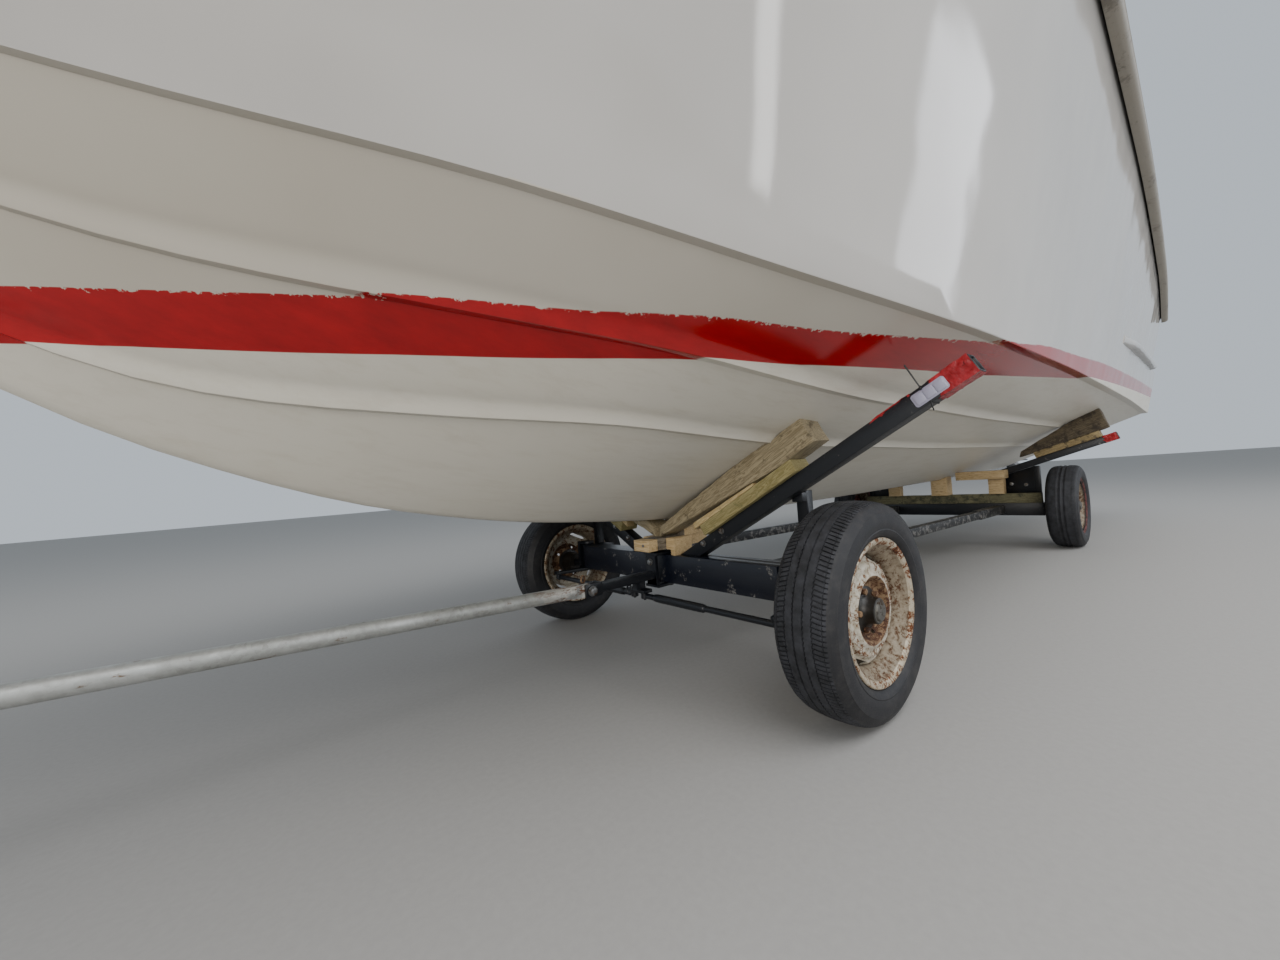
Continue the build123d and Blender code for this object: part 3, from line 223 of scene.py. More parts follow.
def hull_paint(name, above, shade, above_roughness, wave):
    """Bottom paint, stripe and topside in one finish, split by the height over the stripe."""
    made, tree, shader = finish_named(name, IOR=1.5)
    where = place(tree)
    along, _, height = add(tree, "SeparateXYZ", where).node.outputs
    ragged = add(tree, "TexNoise", where, 60.0, 4.0, 0.7)
    over_low = add(tree, "Math", height, stripe_edge(tree, along, 1), operation="SUBTRACT")
    over_high = add(tree, "Math", height, stripe_edge(tree, along, 2), operation="SUBTRACT")
    over_high = add(tree, "Math", add(tree, "MapRange", ragged, 0.5, 0.7), 0.006, over_high,
                    operation="MULTIPLY_ADD")
    over_low = add(tree, "MapRange", over_low, 0.0, edge_softness)
    over_high = add(tree, "MapRange", over_high, 0.0, edge_softness)
    blotch = add(tree, "TexNoise", where, 1.7, 3.0, 0.55)
    streak = add(tree, "TexNoise", place(tree, (1.5, 9.0, 9.0)), 3.0, 6.0, 0.7)
    lower = add(tree, "Mix", add(tree, "MapRange", streak, 0.48, 0.85), linear("#DAD5C8"),
                linear("#C8C0AF"), data_type="RGBA")
    lower = add(tree, "Mix", add(tree, "MapRange", blotch, 0.35, 0.7, 0.0, 0.6), lower,
                linear("#D2CDBF"), data_type="RGBA")
    scuff = add(tree, "TexNoise", place(tree, (1.0, 5.0, 5.0)), 11.0, 8.0, 0.75)
    lower = add(tree, "Mix", add(tree, "MapRange", scuff, 0.66, 0.78, 0.0, 0.35), lower,
                linear("#A08E74"), data_type="RGBA")
    upper = add(tree, "Mix", add(tree, "MapRange", blotch, 0.3, 0.75), linear(above), linear(shade),
                data_type="RGBA")
    red = add(tree, "Mix", add(tree, "MapRange", streak, 0.3, 0.8), linear("#AE0A12"),
              linear("#8C060D"), data_type="RGBA")
    colour = add(tree, "Mix", over_low, lower, red, data_type="RGBA")
    colour = add(tree, "Mix", over_high, colour, upper, data_type="RGBA")
    rough = add(tree, "MapRange", over_low, 0.0, 1.0, bottom_gloss, stripe_gloss)
    top = add(tree, "Math", over_high, above_roughness - stripe_gloss, operation="MULTIPLY")
    rough = add(tree, "Math", rough, top, operation="ADD")
    swell = add(tree, "TexNoise", where, 2.3, 2.0, 0.4)
    grain = add(tree, "TexNoise", where, 420.0, 3.0, 0.55)
    relief = add(tree, "Math", swell, wave, add(tree, "Math", grain, 0.00004, operation="MULTIPLY"),
                 operation="MULTIPLY_ADD")
    feed(tree, shader, Base_Color=colour, Roughness=rough)
    feed(tree, shader, Normal=add(tree, "Bump", Height=relief, Distance=1.0))
    return made


bottom_paint = hull_paint("satin_bottom_paint", "#C6C0B4", "#BDB6A8", 0.30, 0.0016)
topside_gelcoat = hull_paint("sprayed_topside_gelcoat", "#C6C3BF", "#BAB7B3", 0.045, 0.011)

# %% [markdown]
# ## Paint, rust and metal
# The trolley has stood outdoors for years. Its black enamel is chipped, its wheels are rusty
# under their silver paint, and its drawbar is galvanised and scuffed. One finish function
# lays wear over paint by noise at two scales, and another eats rust into it.

# %% Paint and metal
def worn_paint(name, base, worn, roughness, wear_scale=14.0, wear=0.66, metallic=0.0,
               depth=0.0004):
    """Brushed-on paint that has rubbed through on its high spots."""
    made, tree, shader = finish_named(name, Metallic=metallic, IOR=1.5)
    where = place(tree)
    scratch = add(tree, "TexNoise", where, wear_scale, 8.0, 0.72)
    fine = add(tree, "TexNoise", where, wear_scale * 9, 6.0, 0.7)
    mask = add(tree, "MapRange", add(tree, "Math", fine, 0.35, scratch, operation="MULTIPLY_ADD"),
               wear + 0.12, wear + 0.2)
    colour = add(tree, "Mix", mask, linear(base), linear(worn), data_type="RGBA")
    rough = add(tree, "MapRange", fine, 0.2, 0.8, roughness - 0.08, roughness + 0.14)
    feed(tree, shader, Base_Color=colour, Roughness=rough)
    feed(tree, shader,
         Normal=add(tree, "Bump", Height=add(tree, "Math", fine, mask, operation="ADD"),
                    Distance=depth))
    return made


def rusted(name, paint, grime, rust, deep, start, roughness=0.5, metallic=0.0):
    """Old wheel paint: grime in blotches, then rust that starts at a share of the noise."""
    made, tree, shader = finish_named(name, Metallic=metallic, IOR=1.5)
    where = place(tree)
    blotch = add(tree, "TexNoise", where, 22.0, 8.0, 0.7, Distortion=0.6)
    patch = add(tree, "TexNoise", where, 60.0, 9.0, 0.75, Distortion=0.3)
    spot = add(tree, "TexNoise", where, 240.0, 6.0, 0.7)
    eaten = add(tree, "Math", spot, 0.22, add(tree, "Math", patch, 0.5, operation="MULTIPLY"),
                operation="MULTIPLY_ADD")
    eaten = add(tree, "Math", blotch, 0.45, eaten, operation="MULTIPLY_ADD")
    colour = add(tree, "Mix", add(tree, "MapRange", patch, 0.42, 0.62), linear(paint),
                 linear(grime), data_type="RGBA")
    colour = add(tree, "Mix", add(tree, "MapRange", eaten, start, start + 0.035), colour,
                 linear(rust), data_type="RGBA")
    colour = add(tree, "Mix", add(tree, "MapRange", eaten, start + 0.05, start + 0.1), colour,
                 linear(deep), data_type="RGBA")
    rough = add(tree, "MapRange", eaten, start - 0.02, start + 0.03, roughness, 0.88)
    feed(tree, shader, Base_Color=colour, Roughness=rough)
    flake = add(tree, "MapRange", eaten, start - 0.01, start + 0.02, 1.0, 0.0)
    feed(tree, shader,
         Normal=add(tree, "Bump",
                    Height=add(tree, "Math", spot, 0.6, flake, operation="MULTIPLY_ADD"),
                    Distance=0.0007))
    return made


black_steel = worn_paint("brushed_black_enamel", "#0F1218", "#6B6763", 0.34, 17.0, 0.70)
navy_beam = worn_paint("navy_beam_enamel", "#10141F", "#8C8984", 0.30, 12.0, 0.66)
silver_worn = worn_paint("rubbed_silver_steel", "#1E1F21", "#6F6D69", 0.42, 30.0, 0.56, 0.2)
drive_grey = worn_paint("drive_enamel", "#1C1F23", "#3C4043", 0.28, 18.0, 0.72)
engine_enamel = worn_paint("engine_enamel", "#2C3034", "#55595C", 0.35, 18.0, 0.7)
bright_steel = worn_paint("polished_stainless", "#C9CCCE", "#A9ACAE", 0.14, 10.0, 0.7, 1.0)
bronze = worn_paint("cast_propeller_alloy", "#8F9194", "#55575A", 0.30, 20.0, 0.6, 1.0)
nail_steel = worn_paint("zinc_fasteners", "#8B8C8C", "#5B4632", 0.42, 60.0, 0.58, 0.9)
disc_paint = rusted("rusty_silver_disc", "#B4AEA0", "#948871", "#6A4528", "#37200F", 0.60)
lip_paint = rusted("rubbed_rim_lip", "#B3A996", "#97866C", "#70401F", "#3B2213", 0.59, 0.4, 0.35)
well_rust = rusted("rusty_rim_well", "#857A68", "#665642", "#553820", "#2A190D", 0.60, 0.6)
dish_rust = rusted("rusty_wheel_dish", "#80684C", "#6B4A30", "#4A2B18", "#26170E", 0.56, 0.7)
hub_black = rusted("greasy_hub", "#15130F", "#1F1A15", "#3A2A1C", "#0E0C0A", 0.66, 0.4)
hub_cap_grey = rusted("dull_hub_cap", "#5C5A55", "#47443E", "#3E2F22", "#1B1510", 0.62, 0.5, 0.5)
red_rim = rusted("rusty_red_disc", "#5B1C17", "#43201A", "#3A2015", "#1C110C", 0.58, 0.55)


def zinc_tube():
    """Hot-dip galvanised tube: cloudy zinc, brown scuffs, white paint rubbed on near its end."""
    made, tree, shader = finish_named("galvanised_tube", Metallic=0.55, IOR=1.5)
    where = place(tree)
    spangle = add(tree, "TexVoronoi", where, 95.0).node.outputs["Color"]
    cloud = add(tree, "TexNoise", where, 9.0, 8.0, 0.7)
    dirt = add(tree, "TexNoise", place(tree, (1.0, 3.0, 3.0)), 16.0, 9.0, 0.75)
    colour = add(tree, "Mix", add(tree, "MapRange", cloud, 0.35, 0.65), linear("#A7A8A5"),
                 linear("#83847F"), data_type="RGBA")
    shine = add(tree, "MapRange", add(tree, "SeparateXYZ", spangle), 0.0, 1.0, 0.0, 0.25)
    colour = add(tree, "Mix", shine, colour, linear("#C9CBC9"), data_type="RGBA")
    colour = add(tree, "Mix", add(tree, "MapRange", dirt, 0.6, 0.68), colour, linear("#6B543C"),
                 data_type="RGBA")
    along = add(tree, "SeparateXYZ", where)
    near = add(tree, "MapRange", along, axle_x + 0.5, axle_x + 0.66, 1.0, 0.0)
    white = add(tree, "Math", near, add(tree, "MapRange", cloud, 0.46, 0.52), operation="MULTIPLY")
    colour = add(tree, "Mix", white, colour, linear("#CFCDC6"), data_type="RGBA")
    rust = add(tree, "Math", near, add(tree, "MapRange", dirt, 0.5, 0.56), operation="MULTIPLY")
    colour = add(tree, "Mix", rust, colour, linear("#6E4526"), data_type="RGBA")
    feed(tree, shader, Base_Color=colour,
         Roughness=add(tree, "MapRange", cloud, 0.3, 0.7, 0.38, 0.62))
    feed(tree, shader,
         Normal=add(tree, "Bump", Height=add(tree, "Math", dirt, cloud, operation="ADD"),
                    Distance=0.0006))
    return made


galvanised = zinc_tube()

# %% [markdown]
# ## Timber
# The packers, wedges and planks are sawn softwood of several ages. Grain runs along each
# plank, so the coordinates are turned with the arm that the plank lies on and squeezed along
# it. Mirrored planks read the size of Y, so that both sides get the same slope.

# %% Timber
def timber(name, light, dark, along, slope=0.0, roughness=0.75, dirt=0.0,
           dirty="#3B332A"):
    """Sawn wood: stretched rings, then fibres, then dirt in blotches."""
    made, tree, shader = finish_named(name, IOR=1.5, Roughness=roughness)
    x, y, z = add(tree, "SeparateXYZ", place(tree)).node.outputs
    folded = add(tree, "CombineXYZ", x, add(tree, "Math", y, operation="ABSOLUTE"), z)
    turned = add(tree, "Mapping", folded, Rotation=(-math.radians(slope), 0, 0))
    grain = add(tree, "Mapping", turned, Scale=along)
    rings = add(tree, "TexNoise", grain, 1.9, 5.0, 0.55, Distortion=1.6)
    bands = add(tree, "Math", add(tree, "Math", rings, 7.0, operation="MULTIPLY"),
                operation="FRACT")
    bands = add(tree, "Math", bands, 0.5, operation="PINGPONG")
    fibre = add(tree, "TexNoise", grain, 14.0, 8.0, 0.75)
    colour = add(tree, "Mix", add(tree, "MapRange", bands, 0.05, 0.42), linear(dark), linear(light),
                 data_type="RGBA")
    colour = add(tree, "Mix", add(tree, "MapRange", fibre, 0.55, 0.8, 0.0, 0.55), colour,
                 linear(dark), data_type="RGBA")
    if dirt:
        stain = add(tree, "TexNoise", turned, 17.0, 8.0, 0.7)
        mask = add(tree, "MapRange", stain, 0.62 - dirt * 0.2, 0.72 - dirt * 0.2)
        colour = add(tree, "Mix", mask, colour, linear(dirty), data_type="RGBA")
    feed(tree, shader, Base_Color=colour)
    feed(tree, shader,
         Normal=add(tree, "Bump", Height=add(tree, "Math", bands, fibre, operation="ADD"),
                    Distance=0.0011))
    return made


long_grain = (1.6, 30.0, 30.0)
cross_grain = (30.0, 1.6, 30.0)
front_slope = 28.2
rear_slope = 18.3
old_plank = timber("weathered_wedge", "#A39679", "#7D7055", cross_grain, front_slope, 0.7, 0.25,
                   "#5C513D")
green_timber = timber("treated_timber", "#A3986B", "#837849", cross_grain, front_slope, 0.7, 0.2,
                      "#767349")
batten_wood = timber("pale_batten", "#CDB98A", "#AE9464", cross_grain, front_slope, 0.7, 0.2,
                     "#8C7A55")
rear_wedge = timber("dark_rear_wedge", "#6B5F4B", "#443B2E", cross_grain, rear_slope, 0.8, 0.6)
rear_batten = timber("rear_batten", "#A8946A", "#7C6B48", cross_grain, rear_slope, 0.7, 0.5)
pine = timber("sawn_pine", "#CDB48A", "#AE9264", cross_grain, 0.0, 0.7, 0.2, "#8F7650")
grey_timber = timber("grey_bearer", "#8B8272", "#655C4E", long_grain, 0.0, 0.8, 0.4)
cross_plank_wood = timber("green_cross_plank", "#7A7658", "#575440", cross_grain, 0.0, 0.8, 0.6,
                          "#454636")
teak = timber("oiled_teak", "#94643C", "#6B4325", long_grain, 0.0, 0.5)

# %% [markdown]
# ## Rubber, vinyl, plastic and glass
# A tyre is carbon black rubber, greyer where the tread scrubs the road. Deck and console are
# moulded gelcoat with a fine non-slip print on their level faces. Cushions are embossed vinyl.

# %% Rubber
def rubber(name, base, dusty, dust_start, roughness):
    """Carbon black rubber: dust lies in blotches and a fine grit breaks its shine."""
    made, tree, shader = finish_named(name, IOR=1.52)
    where = place(tree)
    dust = add(tree, "TexNoise", where, 26.0, 8.0, 0.7)
    grit = add(tree, "TexNoise", where, 420.0, 5.0, 0.7)
    share = add(tree, "MapRange", add(tree, "Math", grit, 0.2, dust, operation="MULTIPLY_ADD"),
                dust_start, dust_start + 0.25)
    feed(tree, shader,
         Base_Color=add(tree, "Mix", share, linear(base), linear(dusty), data_type="RGBA"),
         Roughness=add(tree, "MapRange", grit, 0.3, 0.7, roughness - 0.1, roughness + 0.1))
    feed(tree, shader, Normal=add(tree, "Bump", Height=grit, Distance=0.00025))
    return made


tread_rubber = rubber("scrubbed_tread_rubber", "#17181B", "#303136", 0.48, 0.78)
wall_rubber = rubber("sidewall_rubber", "#121216", "#2E2C2B", 0.58, 0.62)
grip_rubber = rubber("wheel_grip", "#101011", "#1C1C1D", 0.7, 0.5)
tie_nylon = rubber("black_nylon_tie", "#0B0B0C", "#141414", 0.7, 0.4)
rail_vinyl = worn_paint("rail_vinyl", "#8F887C", "#736C61", 0.42, 9.0, 0.6)
rail_groove = worn_paint("rail_groove", "#1C1B1B", "#2A2826", 0.5, 9.0, 0.6)
smoked = worn_paint("smoked_acrylic", "#08090B", "#101214", 0.07, 5.0, 0.7)


def moulded_gelcoat(name, base, shade, pitch=0.006):
    """Gelcoat from a mould, with a non-slip print of small studs on its level faces."""
    made, tree, shader = finish_named(name, IOR=1.5)
    where = place(tree)
    blotch = add(tree, "TexNoise", where, 3.0, 4.0, 0.55)
    stud = add(tree, "TexVoronoi", where, 1 / pitch, Randomness=0.15)
    facing = add(tree, "NewGeometry").node.outputs["Normal"]
    upward = add(tree, "SeparateXYZ", facing).node.outputs["Z"]
    level = add(tree, "MapRange", upward, 0.985, 0.995)
    relief = add(tree, "Math", level, add(tree, "MapRange", stud, 0.2, 0.45, 1.0, 0.0),
                 operation="MULTIPLY")
    feed(tree, shader,
         Base_Color=add(tree, "Mix", blotch, linear(base), linear(shade), data_type="RGBA"),
         Roughness=add(tree, "MapRange", level, 0.0, 1.0, 0.14, 0.42))
    feed(tree, shader, Normal=add(tree, "Bump", Height=relief, Distance=0.0006))
    return made


deck_gelcoat = moulded_gelcoat("deck_gelcoat", "#DEDCD5", "#D2CFC6")


def soft_vinyl(name, base, shade, grain_size=0.0025):
    """Embossed seat vinyl: a pebble grain over a soft sheen."""
    made, tree, shader = finish_named(name, IOR=1.5, Sheen_Weight=0.15)
    where = place(tree)
    pebble = add(tree, "TexVoronoi", where, 1 / grain_size, feature="SMOOTH_F1")
    wear = add(tree, "TexNoise", where, 6.0, 5.0, 0.55)
    feed(tree, shader,
         Base_Color=add(tree, "Mix", wear, linear(base), linear(shade), data_type="RGBA"),
         Roughness=add(tree, "MapRange", wear, 0.3, 0.7, 0.4, 0.55))
    feed(tree, shader, Normal=add(tree, "Bump", Height=pebble, Distance=0.0004))
    return made


cushion_vinyl = soft_vinyl("cushion_vinyl", "#DDD6C8", "#CBC2B0")


def tape_red():
    """Glossy red vinyl tape, faded and dirty in its creases."""
    made, tree, shader = finish_named("red_vinyl_tape", IOR=1.5, Roughness=0.22)
    where = place(tree)
    fade = add(tree, "TexNoise", where, 45.0, 6.0, 0.7)
    colour = add(tree, "Mix", add(tree, "MapRange", fade, 0.4, 0.7), linear("#8E0E14"),
                 linear("#B8343A"), data_type="RGBA")
    dirty = add(tree, "MapRange", add(tree, "TexNoise", where, 130.0, 6.0, 0.55), 0.62, 0.72)
    feed(tree, shader,
         Base_Color=add(tree, "Mix", dirty, colour, linear("#3A0B0C"), data_type="RGBA"))
    feed(tree, shader, Normal=add(tree, "Bump", Height=fade, Distance=0.002))
    return made


def reflector_plastic():
    """Moulded reflector: a fine prism grid under a clear face."""
    made, tree, shader = finish_named("reflector_plastic", IOR=1.49, Roughness=0.16,
                                      Coat_Weight=0.6, Coat_Roughness=0.04)
    where = place(tree)
    prism = add(tree, "TexVoronoi", where, 420.0, Randomness=0.1)
    colour = add(tree, "Mix", add(tree, "MapRange", prism, 0.1, 0.5), linear("#D6D6E2"),
                 linear("#A2A0B4"), data_type="RGBA")
    feed(tree, shader, Base_Color=colour)
    feed(tree, shader, Normal=add(tree, "Bump", Height=prism, Distance=0.0006))
    return made


def clear_glass():
    """Curved safety glass with a faint green tint."""
    made, tree, shader = finish_named(
        "screen_glass", IOR=1.5, Roughness=0.02, Transmission_Weight=0.9)
    tint = add(tree, "Mix", add(tree, "TexNoise", place(tree), 3.0, 4.0, 0.55), linear("#C9D4D4"),
               linear("#D8E0DF"), data_type="RGBA")
    feed(tree, shader, Base_Color=tint)
    return made


red_tape = tape_red()
reflector_face = reflector_plastic()
screen_glass = clear_glass()
print("finishes:", len(bpy.data.materials))

# %% [markdown]
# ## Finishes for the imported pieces
# A rigid piece whose shape is right keeps its mesh and only gets its finish.

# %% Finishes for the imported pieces
node_finishes = {
    "hull": topside_gelcoat, "deck": deck_gelcoat, "rubbing_strake": rail_vinyl,
    "platform_boards": teak, "windscreen_frame": bright_steel, "windscreen_glass": screen_glass,
    "cabin_door": smoked, "door_hinges": bright_steel, "hatch_hinges": bright_steel,
    "forehatch_lid": smoked, "engine_hatch": deck_gelcoat, "sunpad": cushion_vinyl,
    "engine_block": engine_enamel, "helm_console": deck_gelcoat, "steering_wheel": grip_rubber,
    "helm_seats": cushion_vinyl, "seat_pedestals": bright_steel, "bench_base": deck_gelcoat,
    "bench_cushion": cushion_vinyl, "bow_rail": bright_steel, "cleats": bright_steel,
    "bow_eye": bright_steel, "drive_shield": drive_grey, "gimbal_ring": drive_grey,
    "drive_leg": drive_grey, "propeller": bronze, "ladder": bright_steel,
    "ladder_brackets": bright_steel, "front_beam": navy_beam, "front_timbers": green_timber,
    "front_pads": old_plank, "rear_timbers": rear_batten, "rear_pads": rear_wedge,
    "keel_blocks_front": pine, "keel_blocks_rear": pine, "rear_cross_plank": cross_plank_wood,
    "drawbar": galvanised, "side_rails": silver_worn,
}
for side in ("port", "starboard"):
    node_finishes["rim_front_" + side] = disc_paint
    node_finishes["rim_rear_" + side] = red_rim
    node_finishes["tyre_front_" + side] = tread_rubber
    node_finishes["tyre_rear_" + side] = tread_rubber
for name, node in frame["nodes"].items():
    node.data.materials.clear()
    node.data.materials.append(node_finishes.get(name, black_steel))

# %% [markdown]
# ## Modelling helpers
# Each new piece is made with the tools that a modeller has by hand: add a primitive, go into
# edit mode, pick faces or edges by where they are, and extrude, delete or bevel them. These
# few helpers keep that short.

# %% Modelling helpers
def nothing_selected():
    if bpy.context.object and bpy.context.object.mode != "OBJECT":
        bpy.ops.object.mode_set(mode="OBJECT")
    bpy.ops.object.select_all(action="DESELECT")


def activate(piece):
    nothing_selected()
    piece.select_set(True)
    bpy.context.view_layer.objects.active = piece


def smooth(piece, degrees):
    activate(piece)
    bpy.ops.object.shade_smooth_by_angle(angle=math.radians(degrees))


def apply_all(piece):
    activate(piece)
    for modifier in list(piece.modifiers):
        bpy.ops.object.modifier_apply(modifier=modifier.name)


def bevelled(piece, width, segments=2, degrees=30):
    """Rounds every edge sharper than an angle."""
    modifier = piece.modifiers.new("bevel", "BEVEL")
    modifier.width = width
    modifier.segments = segments
    modifier.limit_method = "ANGLE"
    modifier.angle_limit = math.radians(degrees)
    modifier.miter_outer = "MITER_ARC"
    apply_all(piece)
    return piece


def block(middle, size):
    """A cube stretched to a size, with its place in its mesh."""
    nothing_selected()
    bpy.ops.mesh.primitive_cube_add(size=1, location=middle)
    piece = bpy.context.object
    piece.scale = size
    bpy.ops.object.transform_apply(location=True, rotation=True, scale=True)
    return piece


def merged_copy(node_name, name):
    """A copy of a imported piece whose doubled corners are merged."""
    piece = bpy.data.objects.new(name, frame["nodes"][node_name].data.copy())
    bpy.context.scene.collection.objects.link(piece)
    activate(piece)
    bpy.ops.mesh.customdata_custom_splitnormals_clear()
    bpy.ops.object.mode_set(mode="EDIT")
    bpy.ops.mesh.select_all(action="SELECT")
    bpy.ops.mesh.remove_doubles(threshold=0.00005)
    bpy.ops.object.mode_set(mode="OBJECT")
    return piece


def painted(piece, finishes, pick):
    """Lays several finishes on one piece; the rule gives the place of a face's finish."""
    piece.data.materials.clear()
    for finish in finishes:
        piece.data.materials.append(finish)
    for face in piece.data.polygons:
        face.material_index = int(pick(face))


def settle(piece, name, body, finish, stands_for=()):
    """Bakes a piece's place into its mesh and lets it ride on its body."""
    activate(piece)
    bpy.ops.object.transform_apply(location=True, rotation=True, scale=True)
    piece.name = name
    piece.data.name = name
    if finish is not None:
        piece.data.materials.clear()
        piece.data.materials.append(finish)
    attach(piece, body)
    if stands_for:
        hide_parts(*stands_for)
    return piece


def joined(pieces):
    """One mesh out of several."""
    nothing_selected()
    for piece in pieces:
        piece.select_set(True)
    bpy.context.view_layer.objects.active = pieces[0]
    if len(pieces) > 1:
        bpy.ops.object.join()
    return bpy.context.view_layer.objects.active


def copied(piece, matrix):
    """A copy with a mesh of its own, moved by a matrix."""
    made = piece.copy()
    made.data = piece.data.copy()
    made.data.transform(matrix)
    if matrix.determinant() < 0:
        made.data.flip_normals()
    bpy.context.scene.collection.objects.link(made)
    return made

# %% [markdown]
# ## Hull
# A planing hull is a skin pulled over sections. The mould's lines are drawn at eleven
# stations, and a fair curve runs between them. The mesh starts as one ring at the transom,
# and each next ring is extruded from it and set to its own section, strakes and chine flat
# included, so that light runs unbroken along the panels.

# %% Lines of the hull
# Station, keel height, chine half breadth, chine height, chine flat width, sheer half breadth,
# sheer height, inner strake half breadth, outer strake half breadth
hull_lines = [
    (-5.200, 0.570, 1.142, 1.010, 0.042, 1.272, 1.730, 0.530, 0.780),
    (-3.300, 0.540, 1.146, 1.045, 0.040, 1.338, 1.930, 0.545, 0.795),
    (-1.500, 0.530, 1.145, 1.050, 0.036, 1.356, 2.015, 0.565, 0.812),
    (-0.300, 0.540, 1.133, 1.040, 0.030, 1.355, 2.030, 0.600, 0.845),
    (0.500, 0.594, 1.010, 1.093, 0.024, 1.330, 2.045, 0.552, 0.790),
    (1.000, 0.680, 0.813, 1.205, 0.020, 1.262, 2.065, 0.372, 0.610),
    (1.500, 0.865, 0.530, 1.342, 0.017, 1.125, 2.095, 0.165, 0.365),
    (2.000, 1.210, 0.255, 1.505, 0.012, 0.905, 2.140, 0.070, 0.165),
    (2.500, 1.625, 0.075, 1.710, 0.005, 0.600, 2.190, 0.022, 0.048),
    (2.950, 2.020, 0.022, 2.050, 0.002, 0.275, 2.232, 0.006, 0.014),
    (3.210, 2.236, 0.006, 2.242, 0.001, 0.040, 2.256, 0.002, 0.004),
]
stern_x = hull_lines[0][0]
stem_x = hull_lines[-1][0]


def slope_at(rows, index, column):
    """The fair slope at a station: none past a hump, a weighted mean elsewhere."""
    if index == 0:
        first, second = rows[0], rows[1]
        return (second[column] - first[column]) / (second[0] - first[0])
    if index == len(rows) - 1:
        return slope_at(rows[-2:], 0, column)
    before = slope_at(rows[index - 1:], 0, column)
    after = slope_at(rows[index:], 0, column)
    if before * after <= 0:
        return 0.0
    near = rows[index][0] - rows[index - 1][0]
    far = rows[index + 1][0] - rows[index][0]
    return (near + far) * 3 / ((2 * far + near) / before + (far + 2 * near) / after)


def fair(rows, x, column):
    """One line of the hull at station x, on a curve that never overshoots."""
    x = min(rows[-1][0], max(rows[0][0], x))
    index = 0
    while index < len(rows) - 2 and x > rows[index + 1][0]:
        index += 1
    length = rows[index + 1][0] - rows[index][0]
    t = (x - rows[index][0]) / length
    start, end = rows[index][column], rows[index + 1][column]
    lift = slope_at(rows, index, column) * length
    land = slope_at(rows, index + 1, column) * length
    return ((1 + 2 * t) * (1 - t) ** 2 * start + t * (1 - t) ** 2 * lift
            + t * t * (3 - 2 * t) * end + t * t * (t - 1) * land)


# %% [markdown]
# A section runs from the keel up the bottom panel, out under each lifting strake and back up
# its face, over the chine flat and straight up the flank. The strakes fade out at the stem.

# %% Section of the hull
# How far up the face of a strake, as a share of its width, and how far it has risen there
strake_curve = ((0.22, 0.34), (0.5, 0.66), (0.78, 0.90))
strake_fade_start = 2.4
strake_fade_length = 1.2
panel_steps = 5
outer_panel_steps = 7
strake_under = 0.024
strake_face = 0.046
keel_round = 0.030
joint_over_sheer = 0.012
flank_steps = 14


def half_section(x):
    """The port half of the skin at a station, from the keel to the deck joint."""
    keel, chine, chine_z, flat, sheer, sheer_z, inner, outer = (
        fair(hull_lines, x, column) for column in range(1, 9))
    inside = chine - flat
    rise = (chine_z - keel) / inside
    along = math.hypot(1, rise)

    def panel(y):
        return keel + rise * y

    reach = min(keel_round, inner * 0.5)
    points = [(0.0, keel + reach * rise * 0.42), (reach * 0.45, keel + reach * rise * 0.58)]
    start = reach
    fade = min(1.0, max(0.0, (strake_fade_start - x) / strake_fade_length))
    for lip in (inner, outer):
        under = strake_under * fade + 0.0005
        root = lip - under
        for step in range(panel_steps):
            y = start + (root - start) * step / panel_steps
            points.append((y, panel(y)))
        low = panel(root)
        points += [(root, low), (root + under * 0.12, low - under * 0.03)]
        points += [(lip - under * 0.08, low), (lip, low + under * 0.10)]
        top = lip + strake_face * (0.15 + 0.85 * fade) / along
        foot = low + under * 0.10
        for share, pull in strake_curve:
            points.append((lip + (top - lip) * share, foot + (panel(top) - foot) * pull))
        start = top
    for step in range(outer_panel_steps):
        y = start + (inside - start) * step / outer_panel_steps
        points.append((y, panel(y)))
    points += [(inside, chine_z), (inside + flat * 0.12, chine_z - 0.0006)]
    points += [(chine - flat * 0.06, chine_z), (chine, chine_z + 0.002)]
    foot = chine_z + 0.002
    for step in range(1, flank_steps + 1):
        share = step / flank_steps
        points.append((chine + (sheer - chine) * share, foot + (sheer_z - foot) * share))
    points.append((sheer - 0.004, sheer_z + joint_over_sheer))
    return points


def section_ring(x):
    """The whole section: up the port side, over and down the starboard side."""
    port = half_section(x)
    starboard = [(-y, z) for y, z in reversed(port[1:])]
    return [at(x, y, z) for y, z in port + starboard]


# %% [markdown]
# The ring is a circle primitive with as many corners as a section has points. Extruding its
# edges keeps the new ring apart from the old one, so only that ring is put in place each time.
# The rubbing strake and the moulded ledge on the flanks are made the same way.

# %% Skin through rings
def skin_through(name, rings):
    """A closed skin pulled over rings of equally many points."""
    count = len(rings[0])
    nothing_selected()
    bpy.ops.mesh.primitive_circle_add(vertices=count, radius=1, fill_type="NOTHING")
    piece = bpy.context.object
    piece.name = name
    bpy.ops.object.mode_set(mode="EDIT")
    place_points(piece, 0, rings[0])
    bpy.ops.mesh.select_all(action="SELECT")
    bpy.ops.mesh.edge_face_add()
    for index, points in enumerate(rings[1:], start=1):
        select_edges(piece, (index - 1) * count, index * count)
        bpy.ops.mesh.extrude_edges_move()
        place_points(piece, index * count, points)
    select_edges(piece, (len(rings) - 1) * count, len(rings) * count)
    bpy.ops.mesh.edge_face_add()
    bpy.ops.mesh.select_all(action="SELECT")
    bpy.ops.mesh.remove_doubles(threshold=1e-5)
    bpy.ops.mesh.normals_make_consistent(inside=False)
    bpy.ops.object.mode_set(mode="OBJECT")
    return piece


